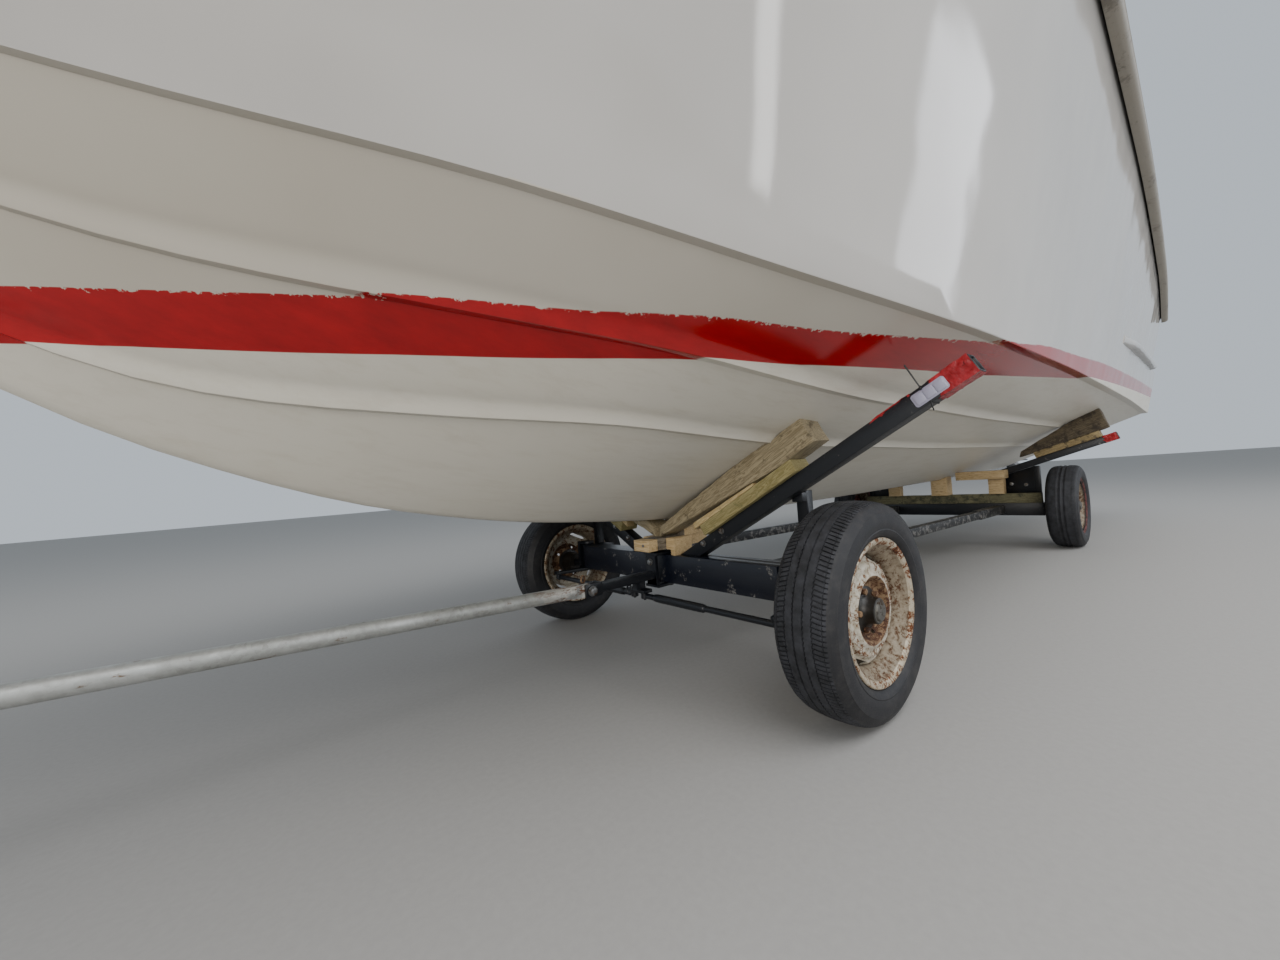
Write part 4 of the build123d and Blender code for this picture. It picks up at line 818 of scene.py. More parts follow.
def place_points(piece, first, points):
    """Moves the corners from one index on, in edit mode, to the points."""
    mesh = bmesh.from_edit_mesh(piece.data)
    mesh.verts.ensure_lookup_table()
    for step, point in enumerate(points):
        mesh.verts[first + step].co = point
    bmesh.update_edit_mesh(piece.data)


def select_edges(piece, first, past):
    """Selects only the edges whose two corners lie in a run of indices."""
    bpy.ops.mesh.select_all(action="DESELECT")
    mesh = bmesh.from_edit_mesh(piece.data)
    for edge in mesh.edges:
        low, high = sorted(corner.index for corner in edge.verts)
        edge.select_set(low >= first and high < past)
    bmesh.update_edit_mesh(piece.data)


stations = [stern_x + 0.1 * step for step in range(84)] + [3.17, stem_x]
hull = skin_through("hull_skin", [section_ring(x) for x in stations])
print("hull skin has", len(hull.data.polygons), "faces over", len(stations), "stations")

# %% [markdown]
# The cockpit, the cuddy, the engine bay and the step for the bathing platform are cut out of
# the solid mould by boxes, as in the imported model. A box is given by where it starts and ends
# along the boat, across it and in height.

# %% Openings of the hull
def cutter(x0, x1, y0, y1, z0, z1):
    """A box from one corner to the other."""
    middle = at((x0 + x1) / 2, (y0 + y1) / 2, (z0 + z1) / 2)
    return block(middle, (x1 - x0, y1 - y0, z1 - z0))


def cut_away(piece, tools):
    """Cuts each tool out of a piece and deletes the tool."""
    for tool in tools:
        modifier = piece.modifiers.new("cut", "BOOLEAN")
        modifier.operation = "DIFFERENCE"
        modifier.solver = "EXACT"
        modifier.object = tool
        activate(piece)
        bpy.ops.object.modifier_apply(modifier=modifier.name)
        bpy.data.objects.remove(tool)


high_over = 3.0
platform_step = cutter(-5.25, -4.62, -1.6, 1.6, 1.37, high_over)
cockpit = cutter(-3.25, 0.15, -1.06, 1.06, 1.30, high_over)
engine_bay = cutter(-4.50, -3.31, -0.56, 0.56, 0.90, high_over)
cuddy = cutter(0.19, 1.35, -0.56, 0.56, 1.42, 2.165)
berth_end = cutter(1.349, 1.92, -0.245, 0.245, 1.61, 2.165)
doorway = cutter(0.14, 0.20, -0.09, 0.43, 1.44, 2.005)
cut_away(hull, [platform_step, cockpit, engine_bay, cuddy, berth_end, doorway])

# %% [markdown]
# The boxes leave square walls, which get the deck's gelcoat. Everything else is topside over
# the chine and on the transom, and bottom paint under the chine.

# %% Paints of the hull
cut_wall = 0.9999
transom_skin = 0.01


def hull_zone(face):
    x, y, z = face.center.x - axle_x, abs(face.center.y), face.center.z
    on_transom = x < stern_x + transom_skin
    squarest = max(abs(part) for part in face.normal)
    if squarest > cut_wall and face.normal.z > -0.5 and x > stern_x + transom_skin:
        return 2
    over_chine = z > fair(hull_lines, x, 3) + 0.001 and y > fair(hull_lines, x, 2) - 0.02
    return over_chine or on_transom


painted(hull, (bottom_paint, topside_gelcoat, deck_gelcoat), hull_zone)
smooth(hull, 24)
settle(hull, "hull_skin", "root", None, ["hull"])

# %% [markdown]
# A moulded ledge grows out of each flank towards the stern. Its section is half a bulged
# round, set on the flank, with its back sunk into the skin.

# %% Ledges on the flanks
# Station and height of the middle of the ledge
ledge_lines = [(-4.62, 1.370), (-3.3, 1.345), (-2.5, 1.325)]
ledge_half = 0.023
ledge_stand = 0.037
ledge_growth = 0.5
ledge_root = 0.02


def flank_y(x, z):
    """Half breadth of the topside at a station and a height."""
    chine, chine_z, sheer, sheer_z = (fair(hull_lines, x, column) for column in (2, 3, 5, 6))
    return chine + (sheer - chine) * (z - chine_z) / (sheer_z - chine_z)


def ledge_ring(x, side):
    middle = fair(ledge_lines, x, 1)
    grown = min(1.0, (ledge_lines[-1][0] - x) / ledge_growth + 0.08)
    points = []
    for turn in range(9):
        angle = math.pi * (turn / 8 - 0.5)
        out = ledge_stand * grown * math.cos(angle) ** 0.6 if abs(angle) < 1.57 else 0.0
        z = middle + ledge_half * math.sin(angle)
        points.append(at(x, side * (flank_y(x, z) - 0.002 + out), z))
    for z in (middle + ledge_half, middle - ledge_half):
        points.append(at(x, side * (flank_y(x, middle) - ledge_root), z))
    return points


for side, name in ((1, "port"), (-1, "starboard")):
    places = [-4.62 + 0.16 * step for step in range(13)] + [-2.54]
    ledge = skin_through("flank_ledge_" + name, [ledge_ring(x, side) for x in places])
    smooth(ledge, 40)
    settle(ledge, "flank_ledge_" + name, "root", topside_gelcoat)

# %% [markdown]
# A vinyl rubbing strake with a dark groove runs round the sheer, from transom to transom. Its
# section is turned square to the sheer at each station.

# %% Rubbing strake
# The section of the strake: how far out from the sheer and how high over its middle
strake_section = [
    (-0.006, -0.031), (0.012, -0.031), (0.022, -0.028), (0.030, -0.021), (0.0335, -0.011),
    (0.0335, -0.006), (0.028, -0.0045), (0.028, 0.0045), (0.0335, 0.006), (0.0335, 0.011),
    (0.030, 0.021), (0.022, 0.028), (0.012, 0.031), (-0.006, 0.031),
]
strake_middle = 0.039
groove_reach = 0.0325
groove_half = 0.0052


def strake_ring(x, y, outward, z):
    return [at(x + outward.x * out, y + outward.y * out, z + rise)
            for out, rise in strake_section]


rail_stations = [-4.62 + 0.15 * step for step in range(52)] + [3.12, 3.17, 3.2]
port_line = [(x, fair(hull_lines, x, 5), fair(hull_lines, x, 6)) for x in rail_stations]
whole_line = port_line + [(x, -y, z) for x, y, z in reversed(port_line)]
rings = []
for index, (x, y, z) in enumerate(whole_line):
    before = whole_line[max(0, index - 1)]
    after = whole_line[min(len(whole_line) - 1, index + 1)]
    run = Vector((after[0] - before[0], after[1] - before[1], 0)).normalized()
    rings.append(strake_ring(x, y, Vector((-run.y, run.x, 0)), z - strake_middle))
rail = skin_through("rubbing_strake_vinyl", rings)


def in_groove(face):
    x = face.center.x - axle_x
    deep = abs(face.center.z - fair(hull_lines, x, 6) + strake_middle) < groove_half
    return deep and abs(face.center.y) < fair(hull_lines, x, 5) + groove_reach


painted(rail, (rail_vinyl, rail_groove), in_groove)
smooth(rail, 35)
settle(rail, "rubbing_strake_vinyl", "root", None, ["rubbing_strake"])

# %% [markdown]
# ## Tyres
# A road tyre's tread is one block pattern repeated round the wheel. One pitch is a grid whose
# corners are set on the tyre's section: ribs stay at the crown, groove floors and slots drop
# towards the axle. An array turns it round the axle, and merging closes the ring. The rear
# tyres are plainer: straight grooves and hardly worn shoulders.

# %% Tread pitch
pitch_count = 150
tread_columns = (0.0, 0.05, 0.29, 0.34, 0.66, 1.0)
# Place across the tyre from its middle, drop under the crown, both in millimetres
tyre_half = [
    (0.0, 0.0), (10.8, 0.1), (11.2, 6.0), (14.6, 6.0), (15.0, 0.3), (24.0, 0.7), (34.8, 1.4),
    (35.2, 5.6), (37.8, 5.8), (38.2, 1.7), (50.0, 3.2), (61.6, 5.6), (62.2, 8.6), (63.8, 9.0),
    (64.4, 6.6), (72.0, 10.2), (80.0, 19.0), (86.0, 33.0), (88.2, 35.0), (90.8, 56.0),
    (90.0, 70.0), (87.5, 80.0), (88.5, 83.0), (86.0, 90.0), (80.0, 99.0), (71.4, 104.5),
    (70.6, 118.0),
]
rear_grooves = ((15.0, 9.0), (44.0, 7.0))
slot_depth = 4.5
rear_slot_depth = 3.0
rear_groove_depth = 5.5
# On the rear tyres these corners of the section lie nearer to the crown
rear_drops = {11.2: 0.2, 14.6: 0.3, 35.2: 1.5, 37.8: 1.7, 62.2: 5.7, 63.8: 6.1}
# Zones of the front tread, by distance from its middle: ribs that zigzag, shoulder slots
zigzag = 2.2
zigzag_zone = (11.0, 38.5)
slot_zone = (38.0, 71.0)
rear_slot_zone = (60.0, 73.0)
slot_columns = (1, 2)
# The shoulder slots lean: where that starts, how soon it is full, and by what share of a pitch
lean_start = 34.0
lean_run = 30.0
lean_share = 0.55
tread_half = 0.0725


def tread_point(radius, across, drop, column, front):
    """A corner of one pitch: its angle, place along the axle and distance from the axle."""
    size = abs(across)
    share = tread_columns[column]
    if front:
        in_slot = column in slot_columns and slot_zone[0] < size < slot_zone[1]
        drop += slot_depth if in_slot else 0.0
        if zigzag_zone[0] < size < zigzag_zone[1] and column in (3, 4):
            across += math.copysign(zigzag, across)
        skew = max(0.0, min(1.0, (size - lean_start) / lean_run)) * lean_share
    else:
        drop = rear_drops.get(size, drop)
        in_slot = column in slot_columns and rear_slot_zone[0] < size < rear_slot_zone[1]
        drop += rear_slot_depth if in_slot else 0.0
        for middle, width in rear_grooves:
            drop += rear_groove_depth if abs(size - middle) < width / 2 else 0.0
        skew = 0.0
    return (share + skew) * math.tau / pitch_count, across / 1000, radius - drop / 1000


def tyre_mesh(name, radius, front):
    """One whole tyre round the origin, its axle along Y."""
    section = [(-y, drop) for y, drop in reversed(tyre_half[1:])] + tyre_half
    nothing_selected()
    bpy.ops.mesh.primitive_grid_add(x_subdivisions=len(tread_columns) - 1,
                                    y_subdivisions=len(section) - 1, size=1)
    piece = bpy.context.object
    piece.name = name
    bpy.ops.object.mode_set(mode="EDIT")
    points = []
    for across, drop in section:
        for column in range(len(tread_columns)):
            angle, y, reach = tread_point(radius, across, drop, column, front)
            points.append(Vector((reach * math.sin(angle), y, reach * math.cos(angle))))
    place_points(piece, 0, points)
    bpy.ops.object.mode_set(mode="OBJECT")
    bpy.ops.object.empty_add(rotation=(0, math.tau / pitch_count, 0))
    step = bpy.context.object
    ring = piece.modifiers.new("ring", "ARRAY")
    ring.count = pitch_count
    ring.use_relative_offset = False
    ring.use_object_offset = True
    ring.offset_object = step
    ring.use_merge_vertices = True
    ring.use_merge_vertices_cap = True
    ring.merge_threshold = 0.0002
    apply_all(piece)
    bpy.data.objects.remove(step)
    bpy.ops.object.mode_set(mode="EDIT")
    bpy.ops.mesh.select_all(action="SELECT")
    bpy.ops.mesh.remove_doubles(threshold=0.0002)
    mesh = bmesh.from_edit_mesh(piece.data)
    for edge in mesh.edges:
        edge.select_set(edge.is_boundary)
    bpy.ops.mesh.select_mode(type="EDGE")
    bpy.ops.mesh.bridge_edge_loops()
    bpy.ops.mesh.select_all(action="SELECT")
    bpy.ops.mesh.normals_make_consistent(inside=False)
    bpy.ops.mesh.select_mode(type="VERT")
    bpy.ops.object.mode_set(mode="OBJECT")
    painted(piece, (tread_rubber, wall_rubber), lambda face: abs(face.center.y) > tread_half)
    smooth(piece, 28)
    return piece


def radius_of(node_name):
    low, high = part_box(node_name)
    return (high.z - low.z) / 2


front_tyre = tyre_mesh("front_tyre", radius_of("tyre_front_port"), True)
rear_tyre = tyre_mesh("rear_tyre", radius_of("tyre_rear_port"), False)
print("one front tyre has", len(front_tyre.data.polygons), "faces")

# %% [markdown]
# ## Wheels
# A pressed steel wheel is a rolled rim with a pressed disc inside it, so each part is one
# outline spun round the axle. The disc touches the rim only in places: four long gaps are cut
# between them. The hub, its cap and the wheel bolts come last.

# %% Turned parts
def turned(name, outline, steps=96):
    """Spins a closed outline of (place along the axle, radius) round the Y axis."""
    nothing_selected()
    bpy.ops.mesh.primitive_circle_add(vertices=len(outline), radius=1, fill_type="NOTHING")
    piece = bpy.context.object
    piece.name = name
    bpy.ops.object.mode_set(mode="EDIT")
    place_points(piece, 0, [Vector((radius / 1000, y / 1000, 0)) for y, radius in outline])
    bpy.ops.mesh.select_all(action="SELECT")
    bpy.ops.mesh.spin(steps=steps, angle=math.tau, center=(0, 0, 0), axis=(0, 1, 0))
    bpy.ops.mesh.select_all(action="SELECT")
    bpy.ops.mesh.remove_doubles(threshold=0.00002)
    bpy.ops.mesh.normals_make_consistent(inside=False)
    bpy.ops.object.mode_set(mode="OBJECT")
    return piece


# %% [markdown]
# The outlines are in millimetres: how far out from the wheel's middle, and the radius there.

# %% Wheel outlines
# Rim: outer skin from flange to flange, then back along the inner skin
rim_outer = [
    (-71, 190), (-71.5, 203), (-73, 206), (-76.5, 206), (-78.5, 203.5), (-78, 199), (-75, 192),
    (-70, 186), (-60, 182), (-55, 176), (-48, 167), (-38, 160), (-15, 157.5), (10, 157.5),
    (35, 160), (48, 167), (55, 176), (60, 182), (70, 186), (75, 192), (78, 199),
    (78.5, 203.5), (76.5, 206), (73, 206), (71.5, 203), (71, 190),
]
rim_inner = [
    (66, 190), (58, 187), (52, 181), (44, 172), (33, 165), (10, 162.5), (-15, 162.5),
    (-36, 165), (-46, 172), (-53, 181), (-59, 187), (-66, 190),
]
# Disc: its outer face from the rim in to the hub, with pressed ridges and the dish
disc_face = [
    (12, 158), (16, 155), (22, 153), (28, 151), (30, 147.5), (29, 143.5), (30, 139), (34, 135),
    (40, 131.5), (43, 127), (43.5, 122), (42, 117), (43, 111), (47, 106), (50, 101.5),
    (51, 97), (49, 92.5), (43, 88.5), (34, 85), (28, 80), (25.5, 72), (25, 60), (25, 46),
]
disc_wall = 4.5
# Hub: from its hidden barrel out over the flange and the grease cap
hub_outline = [
    (-60, 19), (-60, 46), (-40, 50), (16, 51), (18, 64), (22, 66), (26.5, 65), (28, 62),
    (28.5, 50), (32, 45), (38, 41), (46, 37.5), (60, 36.5), (64, 36), (66, 33), (66, 29),
    (68, 27.5), (71, 26), (72, 22), (72, 6), (71, 0.2), (38, 0.2), (38, 19),
]


well_radius = 0.184
dish_radius = 0.095
cap_radius = 0.0335
bolt_count = 5
lie_down = Matrix.Rotation(math.radians(90), 4, "X")


def round_axle(angle, reach, out):
    """The matrix to a spot of the wheel: angle in degrees, radius and place along the axle."""
    return Matrix.Rotation(math.radians(angle), 4, "Y") @ Matrix.Translation((reach, out, 0))


def from_axle(face):
    return math.hypot(face.center.x, face.center.z)


def cylinder(corners, radius, depth):
    nothing_selected()
    bpy.ops.mesh.primitive_cylinder_add(vertices=corners, radius=radius, depth=depth)
    return bpy.context.object


def wheel_mesh(name, rim_lip, rim_well, disc_finish, dish):
    """Rim, disc, hub and bolts of one wheel round the origin, outer face towards +Y."""
    shell = turned("rim_shell", rim_outer + rim_inner)
    painted(shell, (rim_lip, rim_well), lambda face: from_axle(face) < well_radius)
    back = [(y - disc_wall, radius - 1.5) for y, radius in reversed(disc_face)]
    disc = turned("wheel_disc", disc_face + back)
    gaps = []
    for quarter in range(4):
        gap = block((0, 0, 0), (0.0125, 0.06, 0.092))
        bevelled(gap, 0.005)
        gap.data.transform(round_axle(45 + 90 * quarter, 0.1465, 0.02))
        gaps.append(gap)
    for index in range(bolt_count):
        hole = cylinder(20, 0.0065, 0.06)
        hole.data.transform(round_axle(360 / bolt_count * index + 20, 0.0765, 0.02) @ lie_down)
        gaps.append(hole)
    cut_away(disc, gaps)
    painted(disc, (disc_finish, dish),
            lambda face: from_axle(face) < dish_radius or face.center.y < -0.01)
    hub = turned("wheel_hub", hub_outline, 48)
    painted(hub, (hub_black, hub_cap_grey),
            lambda face: face.center.y > 0.0625 and from_axle(face) < cap_radius)
    made = [shell, disc, hub]
    for index in range(bolt_count):
        bolt = cylinder(6, 0.0095, 0.014)
        bolt.data.transform(round_axle(360 / bolt_count * index + 52, 0.057, 0.034) @ lie_down)
        bevelled(bolt, 0.0015)
        bolt.data.materials.append(dish)
        made.append(bolt)
    wheel = joined(made)
    wheel.name = name
    smooth(wheel, 35)
    return wheel


front_wheel = wheel_mesh("front_wheel", lip_paint, well_rust, disc_paint, dish_rust)
rear_wheel = wheel_mesh("rear_wheel", red_rim, well_rust, red_rim, red_rim)

# %% [markdown]
# Each pattern is copied twice, to the middle of its packed tyre. The starboard copies are
# turned about, so that every disc looks outward, and the four stand at different angles.

# %% Four wheels in their places
for end, tyre, wheel, slot_name in (("front", front_tyre, front_wheel, "rim_silver"),
                                    ("rear", rear_tyre, rear_wheel, "rim_red")):
    for side, hand in (("port", 1), ("starboard", -1)):
        corner = end + "_" + side
        low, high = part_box("tyre_" + corner)
        middle = Matrix.Translation((low + high) / 2)
        face_out = Matrix.Rotation(0 if hand > 0 else math.pi, 4, "Z")
        made = copied(tyre, middle @ face_out)
        settle(made, "treaded_tyre_" + corner, "wheel_" + corner, None,
               ["tyre_" + corner])
        made = copied(wheel, middle @ face_out @ Matrix.Rotation(0.35 * hand, 4, "Y"))
        settle(made, "steel_wheel_" + corner, "wheel_" + corner, None,
               ["rim_" + corner])
for pattern in (front_tyre, rear_tyre, front_wheel, rear_wheel):
    bpy.data.objects.remove(pattern)

# %% [markdown]
# ## Dressing the trolley's steel and timber
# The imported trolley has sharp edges. A copy of each piece is merged, its flat triangles are
# dissolved, and its edges are rounded, so that they catch light as rolled steel and sawn wood
# do. Old wood is also cut into short lengths and pushed in and out by a little noise.

# %% Dressed copies
body_of_node = {}
for body, members in frame["record"]["behaviour"]["bodies"].items():
    for member in members:
        body_of_node[member] = body


def roughened(piece, amount, length=0.05, seed=0.0):
    """Divides the long edges and moves every corner by noise of an amount in metres."""
    activate(piece)
    bpy.ops.object.mode_set(mode="EDIT")
    for turn in range(4):
        mesh = bmesh.from_edit_mesh(piece.data)
        for face in mesh.faces:
            face.select_set(False)
        for edge in mesh.edges:
            edge.select_set(edge.calc_length() > length)
        bmesh.update_edit_mesh(piece.data)
        bpy.ops.mesh.select_mode(type="EDGE")
        bpy.ops.mesh.subdivide(number_cuts=1)
    bpy.ops.mesh.select_mode(type="VERT")
    bpy.ops.mesh.select_all(action="SELECT")
    bpy.ops.mesh.quads_convert_to_tris()
    bpy.ops.object.mode_set(mode="OBJECT")
    offset = Vector((seed, seed * 0.7, 0))
    for corner in piece.data.vertices:
        corner.co += turbulence_vector(corner.co * 34.0 + offset, 3, False) * amount


def dressed(node_name, name, width, finish, rough=0.0):
    """A merged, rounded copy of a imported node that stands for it."""
    piece = merged_copy(node_name, name)
    bpy.ops.object.mode_set(mode="EDIT")
    bpy.ops.mesh.select_all(action="SELECT")
    bpy.ops.mesh.dissolve_limited(angle_limit=math.radians(1.0))
    bpy.ops.object.mode_set(mode="OBJECT")
    bevelled(piece, width)
    if rough:
        roughened(piece, rough, seed=len(name))
    smooth(piece, 40)
    return settle(piece, name, body_of_node[node_name], finish, [node_name])


steel_pieces = [
    ("front_beam", "rounded_front_beam", 0.004, navy_beam),
    ("rear_beam", "rounded_rear_beam", 0.004, black_steel),
    ("side_rails", "rounded_side_rails", 0.003, silver_worn),
    ("front_posts", "rounded_front_posts", 0.002, black_steel),
    ("rear_posts", "rounded_rear_posts", 0.0015, black_steel),
    ("front_arms", "rounded_front_arms", 0.0022, black_steel),
    ("rear_arms", "rounded_rear_arms", 0.0022, black_steel),
    ("drawbar_stub", "rounded_drawbar_stub", 0.002, black_steel),
    ("knuckle_port", "rounded_knuckle_port", 0.002, black_steel),
    ("knuckle_starboard", "rounded_knuckle_starboard", 0.002, black_steel),
]
for node_name, name, width, finish in steel_pieces:
    dressed(node_name, name, width, finish)

wood_pieces = [
    ("front_timbers", "front_arm_timbers", 0.0025, green_timber, "treated_timber", 0.0016),
    ("front_pads", "front_wedge_planks", 0.0030, old_plank, "old_plank", 0.0036),
    ("rear_timbers", "rear_arm_timbers", 0.0025, rear_batten, "treated_timber", 0.0018),
    ("rear_pads", "rear_wedge_planks", 0.0030, rear_wedge, "old_plank", 0.0036),
    ("keel_blocks_front", "front_keel_packing", 0.0022, pine, "pine_block", 0.0014),
    ("keel_blocks_rear", "rear_keel_packing", 0.0022, pine, "pine_block", 0.0014),
    ("rear_cross_plank", "rough_cross_plank", 0.0030, cross_plank_wood, "old_plank", 0.0022),
]
for node_name, name, width, finish, slot_name, rough in wood_pieces:
    made = dressed(node_name, name, width, finish, rough)
    print(name, len(made.data.polygons), "faces")

# %% [markdown]
# Only one length of the front packing is new pine. The bearer right under the keel is older
# and has gone grey.

# %% Grey bearer
painted(bpy.data.objects["front_keel_packing"], (pine, grey_timber),
        lambda face: -0.06 < face.center.x - axle_x < 0.1 and abs(face.center.y) < 0.055)

# %% [markdown]
# ## Tape, reflectors and a cable tie on the arms
# Each front arm ends in a wrap of red tape with a three-celled reflector beside it, held by a
# black cable tie. They are placed along the arm: how far back from its mouth, how high over
# its underside, and how far forward of its middle.

# %% Places on the arms
# A tip is how far out from the keel an arm ends, and how high its underside is there
arm_size = 0.050
arm_x = -0.005
front_tip = (1.150, 0.9227)
rear_tip = (1.095, 0.7733)
rear_arm_x = -3.355
sleeve_play = 0.0012


def on_arm(tip, slope, x, side):
    """The matrix that puts a piece modelled along +Y, back from the mouth, on an arm."""
    place_at = Matrix.Translation(at(x, tip[0], tip[1]))
    lean = Matrix.Rotation(math.radians(slope), 4, "X")
    mirror = Matrix.Scale(-1, 4, (0, 1, 0)) if side < 0 else Matrix.Identity(4)
    return mirror @ place_at @ lean


def sleeve(start, end, thickness, crumple, seed, ragged=0.0):
    """A square sleeve round an arm from one distance back from its mouth to another."""
    outside = arm_size + sleeve_play
    piece = block((0, -(start + end) / 2, arm_size / 2), (outside, end - start, outside))
    bpy.ops.object.mode_set(mode="EDIT")
    mesh = bmesh.from_edit_mesh(piece.data)
    for face in mesh.faces:
        face.select_set(abs(face.normal.y) > 0.9)
    bmesh.update_edit_mesh(piece.data)
    bpy.ops.mesh.select_mode(type="FACE")
    bpy.ops.mesh.delete(type="FACE")
    bpy.ops.mesh.select_all(action="SELECT")
    bpy.ops.mesh.subdivide(number_cuts=17)
    bpy.ops.mesh.select_mode(type="VERT")
    bpy.ops.object.mode_set(mode="OBJECT")
    for corner in piece.data.vertices:
        point = corner.co
        out = Vector((point.x, 0, point.z - arm_size / 2)).normalized()
        lift = turbulence(point * 60.0 + Vector((seed, 0, 0)), 4, False)
        point += out * crumple * max(0.0, lift + 0.25)
        if ragged and point.y < -(end - 0.02):
            point.y += ragged * turbulence(point * 90.0 + Vector((0, seed, 0)), 3, False)
    wall = piece.modifiers.new("wall", "SOLIDIFY")
    wall.thickness = thickness
    wall.offset = 1.0
    apply_all(piece)
    return piece


def plate_on_arm(start, end, low, high, thickness, corner):
    """A rounded plate on the forward face of an arm."""
    middle = ((arm_size + thickness) / 2, -(start + end) / 2, (low + high) / 2)
    piece = block(middle, (thickness, end - start, high - low))
    bpy.ops.object.mode_set(mode="EDIT")
    mesh = bmesh.from_edit_mesh(piece.data)
    for edge in mesh.edges:
        run = (edge.verts[0].co - edge.verts[1].co).normalized()
        edge.select_set(abs(run.x) > 0.9)
    bmesh.update_edit_mesh(piece.data)
    bpy.ops.mesh.select_mode(type="EDGE")
    bpy.ops.mesh.bevel(offset=corner, segments=5)
    bpy.ops.mesh.select_mode(type="VERT")
    bpy.ops.object.mode_set(mode="OBJECT")
    bevelled(piece, thickness * 0.3, 2, 50)
    return piece


def put_on(arm, pieces, name, finish, degrees=None):
    """Joins pieces modelled at the origin and lets a copy of them ride on an arm."""
    pattern = joined(pieces)
    made = copied(pattern, arm)
    bpy.data.objects.remove(pattern)
    if degrees:
        smooth(made, degrees)
    settle(made, name, "root", finish)


# %% [markdown]
# The tape was wound on by hand: two crumpled turns at the mouth, the inner one ragged, and a
# torn strip farther back of which only the top is left.

# %% Tape and reflectors
cell_pitch = 0.0265
for side, hand in (("port", 1), ("starboard", -1)):
    front_arm = on_arm(front_tip, front_slope, arm_x, hand)
    wraps = [sleeve(0.002, 0.062, 0.0007, 0.0022, 3.0 + hand),
             sleeve(0.052, 0.098, 0.0006, 0.0016, 7.0 + hand, 0.02)]
    put_on(front_arm, wraps, "red_tape_front_" + side, red_tape, 50)
    strip = sleeve(0.15, 0.27, 0.0005, 0.0012, 11.0 + hand, 0.03)
    activate(strip)
    bpy.ops.object.mode_set(mode="EDIT")
    mesh = bmesh.from_edit_mesh(strip.data)
    for corner in mesh.verts:
        hole = turbulence(corner.co * 55.0 + Vector((hand, 0, 0)), 3, False)
        corner.select_set(corner.co.z < arm_size - 0.006 + 0.012 * hole)
    bmesh.update_edit_mesh(strip.data)
    bpy.ops.mesh.delete(type="VERT")
    bpy.ops.object.mode_set(mode="OBJECT")
    put_on(front_arm, [strip], "torn_tape_front_" + side, red_tape)
    plates = [plate_on_arm(start, start + 0.025, 0.010, 0.038, 0.0045, 0.005)
              for start in (0.070, 0.070 + cell_pitch, 0.070 + 2 * cell_pitch)]
    plates.append(plate_on_arm(0.066, 0.1535, 0.006, 0.042, 0.0022, 0.007))
    put_on(front_arm, plates, "reflector_" + side, reflector_face, 35)
    rear_arm = on_arm(rear_tip, rear_slope, rear_arm_x, hand)
    wrap = sleeve(0.002, 0.075, 0.0007, 0.0020, 5.0 + hand, 0.015)
    put_on(rear_arm, [wrap], "red_tape_rear_" + side, red_tape, 50)

# %% [markdown]
# A nylon tie holds the port reflector. Its band goes round the arm, with a head in front, a
# long tail standing up and a short one under the arm.

# %% Cable tie
tie_width = 0.0036
tie_pieces = [sleeve(0.118, 0.118 + tie_width, 0.0011, 0.0004, 1.0)]
# Where each tail starts on the band and where it ends: forward, back along the arm, up
tail_ends = [((0.027, -0.120, 0.050), (0.030, -0.118, 0.118)),
             ((0.029, -0.1195, 0.003), (0.034, -0.124, -0.022))]
for start, end in tail_ends:
    run = Vector(end) - Vector(start)
    tail = block((0, 0, 0), (tie_width, 0.0013, run.length))
    aim = run.to_track_quat("Z", "Y").to_matrix().to_4x4()
    tail.data.transform(Matrix.Translation((Vector(start) + Vector(end)) / 2) @ aim)
    tie_pieces.append(tail)
tie_pieces.append(bevelled(block((0.0295, -0.120, 0.044), (0.006, 0.0058, 0.0085)), 0.0012))
put_on(on_arm(front_tip, front_slope, arm_x, 1), tie_pieces, "cable_tie", tie_nylon)

# %% [markdown]
# ## Bolts, nail, sleeve and rings
# Hex heads start as six-sided cylinders with a washer under them. Five are on the stub: two
# in its face, its king bolt, and one in each ear of the drawbar's fork.

# %% Fasteners
washer_height = 0.002


def hex_bolt(x, y, z, axis, across=0.019, height=0.009):
    """A hex head on a washer; the axis says where its head looks."""
    head = cylinder(6, across / math.sqrt(3), height)
    head.data.transform(Matrix.Translation((0, 0, height / 2 + washer_height)))
    bevelled(head, 0.0012)
    washer = cylinder(24, across * 0.72, washer_height)
    washer.data.transform(Matrix.Translation((0, 0, washer_height / 2)))
    bolt = joined([head, washer])
    aim = Vector(axis).to_track_quat("Z", "Y").to_matrix().to_4x4()
    bolt.data.transform(Matrix.Translation(at(x, y, z)) @ aim)
    return bolt


def fastened(pieces, name, body):
    made = joined(pieces)
    smooth(made, 35)
    settle(made, name, body, nail_steel)


stub_bolts = [hex_bolt(0.096, 0.0, 0.332, (1, 0, 0)), hex_bolt(0.096, 0.0, 0.392, (1, 0, 0)),
              hex_bolt(-0.005, 0.0, 0.4285, (0, 0, 1), 0.024, 0.011),
              hex_bolt(0.406, 0.0305, 0.340, (0, 1, 0), 0.026, 0.012),
              hex_bolt(0.406, -0.0305, 0.340, (0, -1, 0), 0.026, 0.012)]
fastened(stub_bolts, "stub_bolts", "stub")
arm_bolts = []
for hand in (1, -1):
    for y, z in ((0.235, 0.470), (0.330, 0.521)):
        arm_bolts.append(hex_bolt(0.020, hand * y, z, (1, 0, 0), 0.016, 0.008))
    arm_bolts.append(hex_bolt(rear_arm_x + 0.005, hand * 0.56, 0.470, (1, 0, 0), 0.019))
    arm_bolts.append(hex_bolt(rear_arm_x + 0.005, hand * 0.47, 0.480, (1, 0, 0), 0.019))
fastened(arm_bolts, "arm_bolts", "root")
nail = bevelled(cylinder(24, 0.006, 0.004), 0.0012)
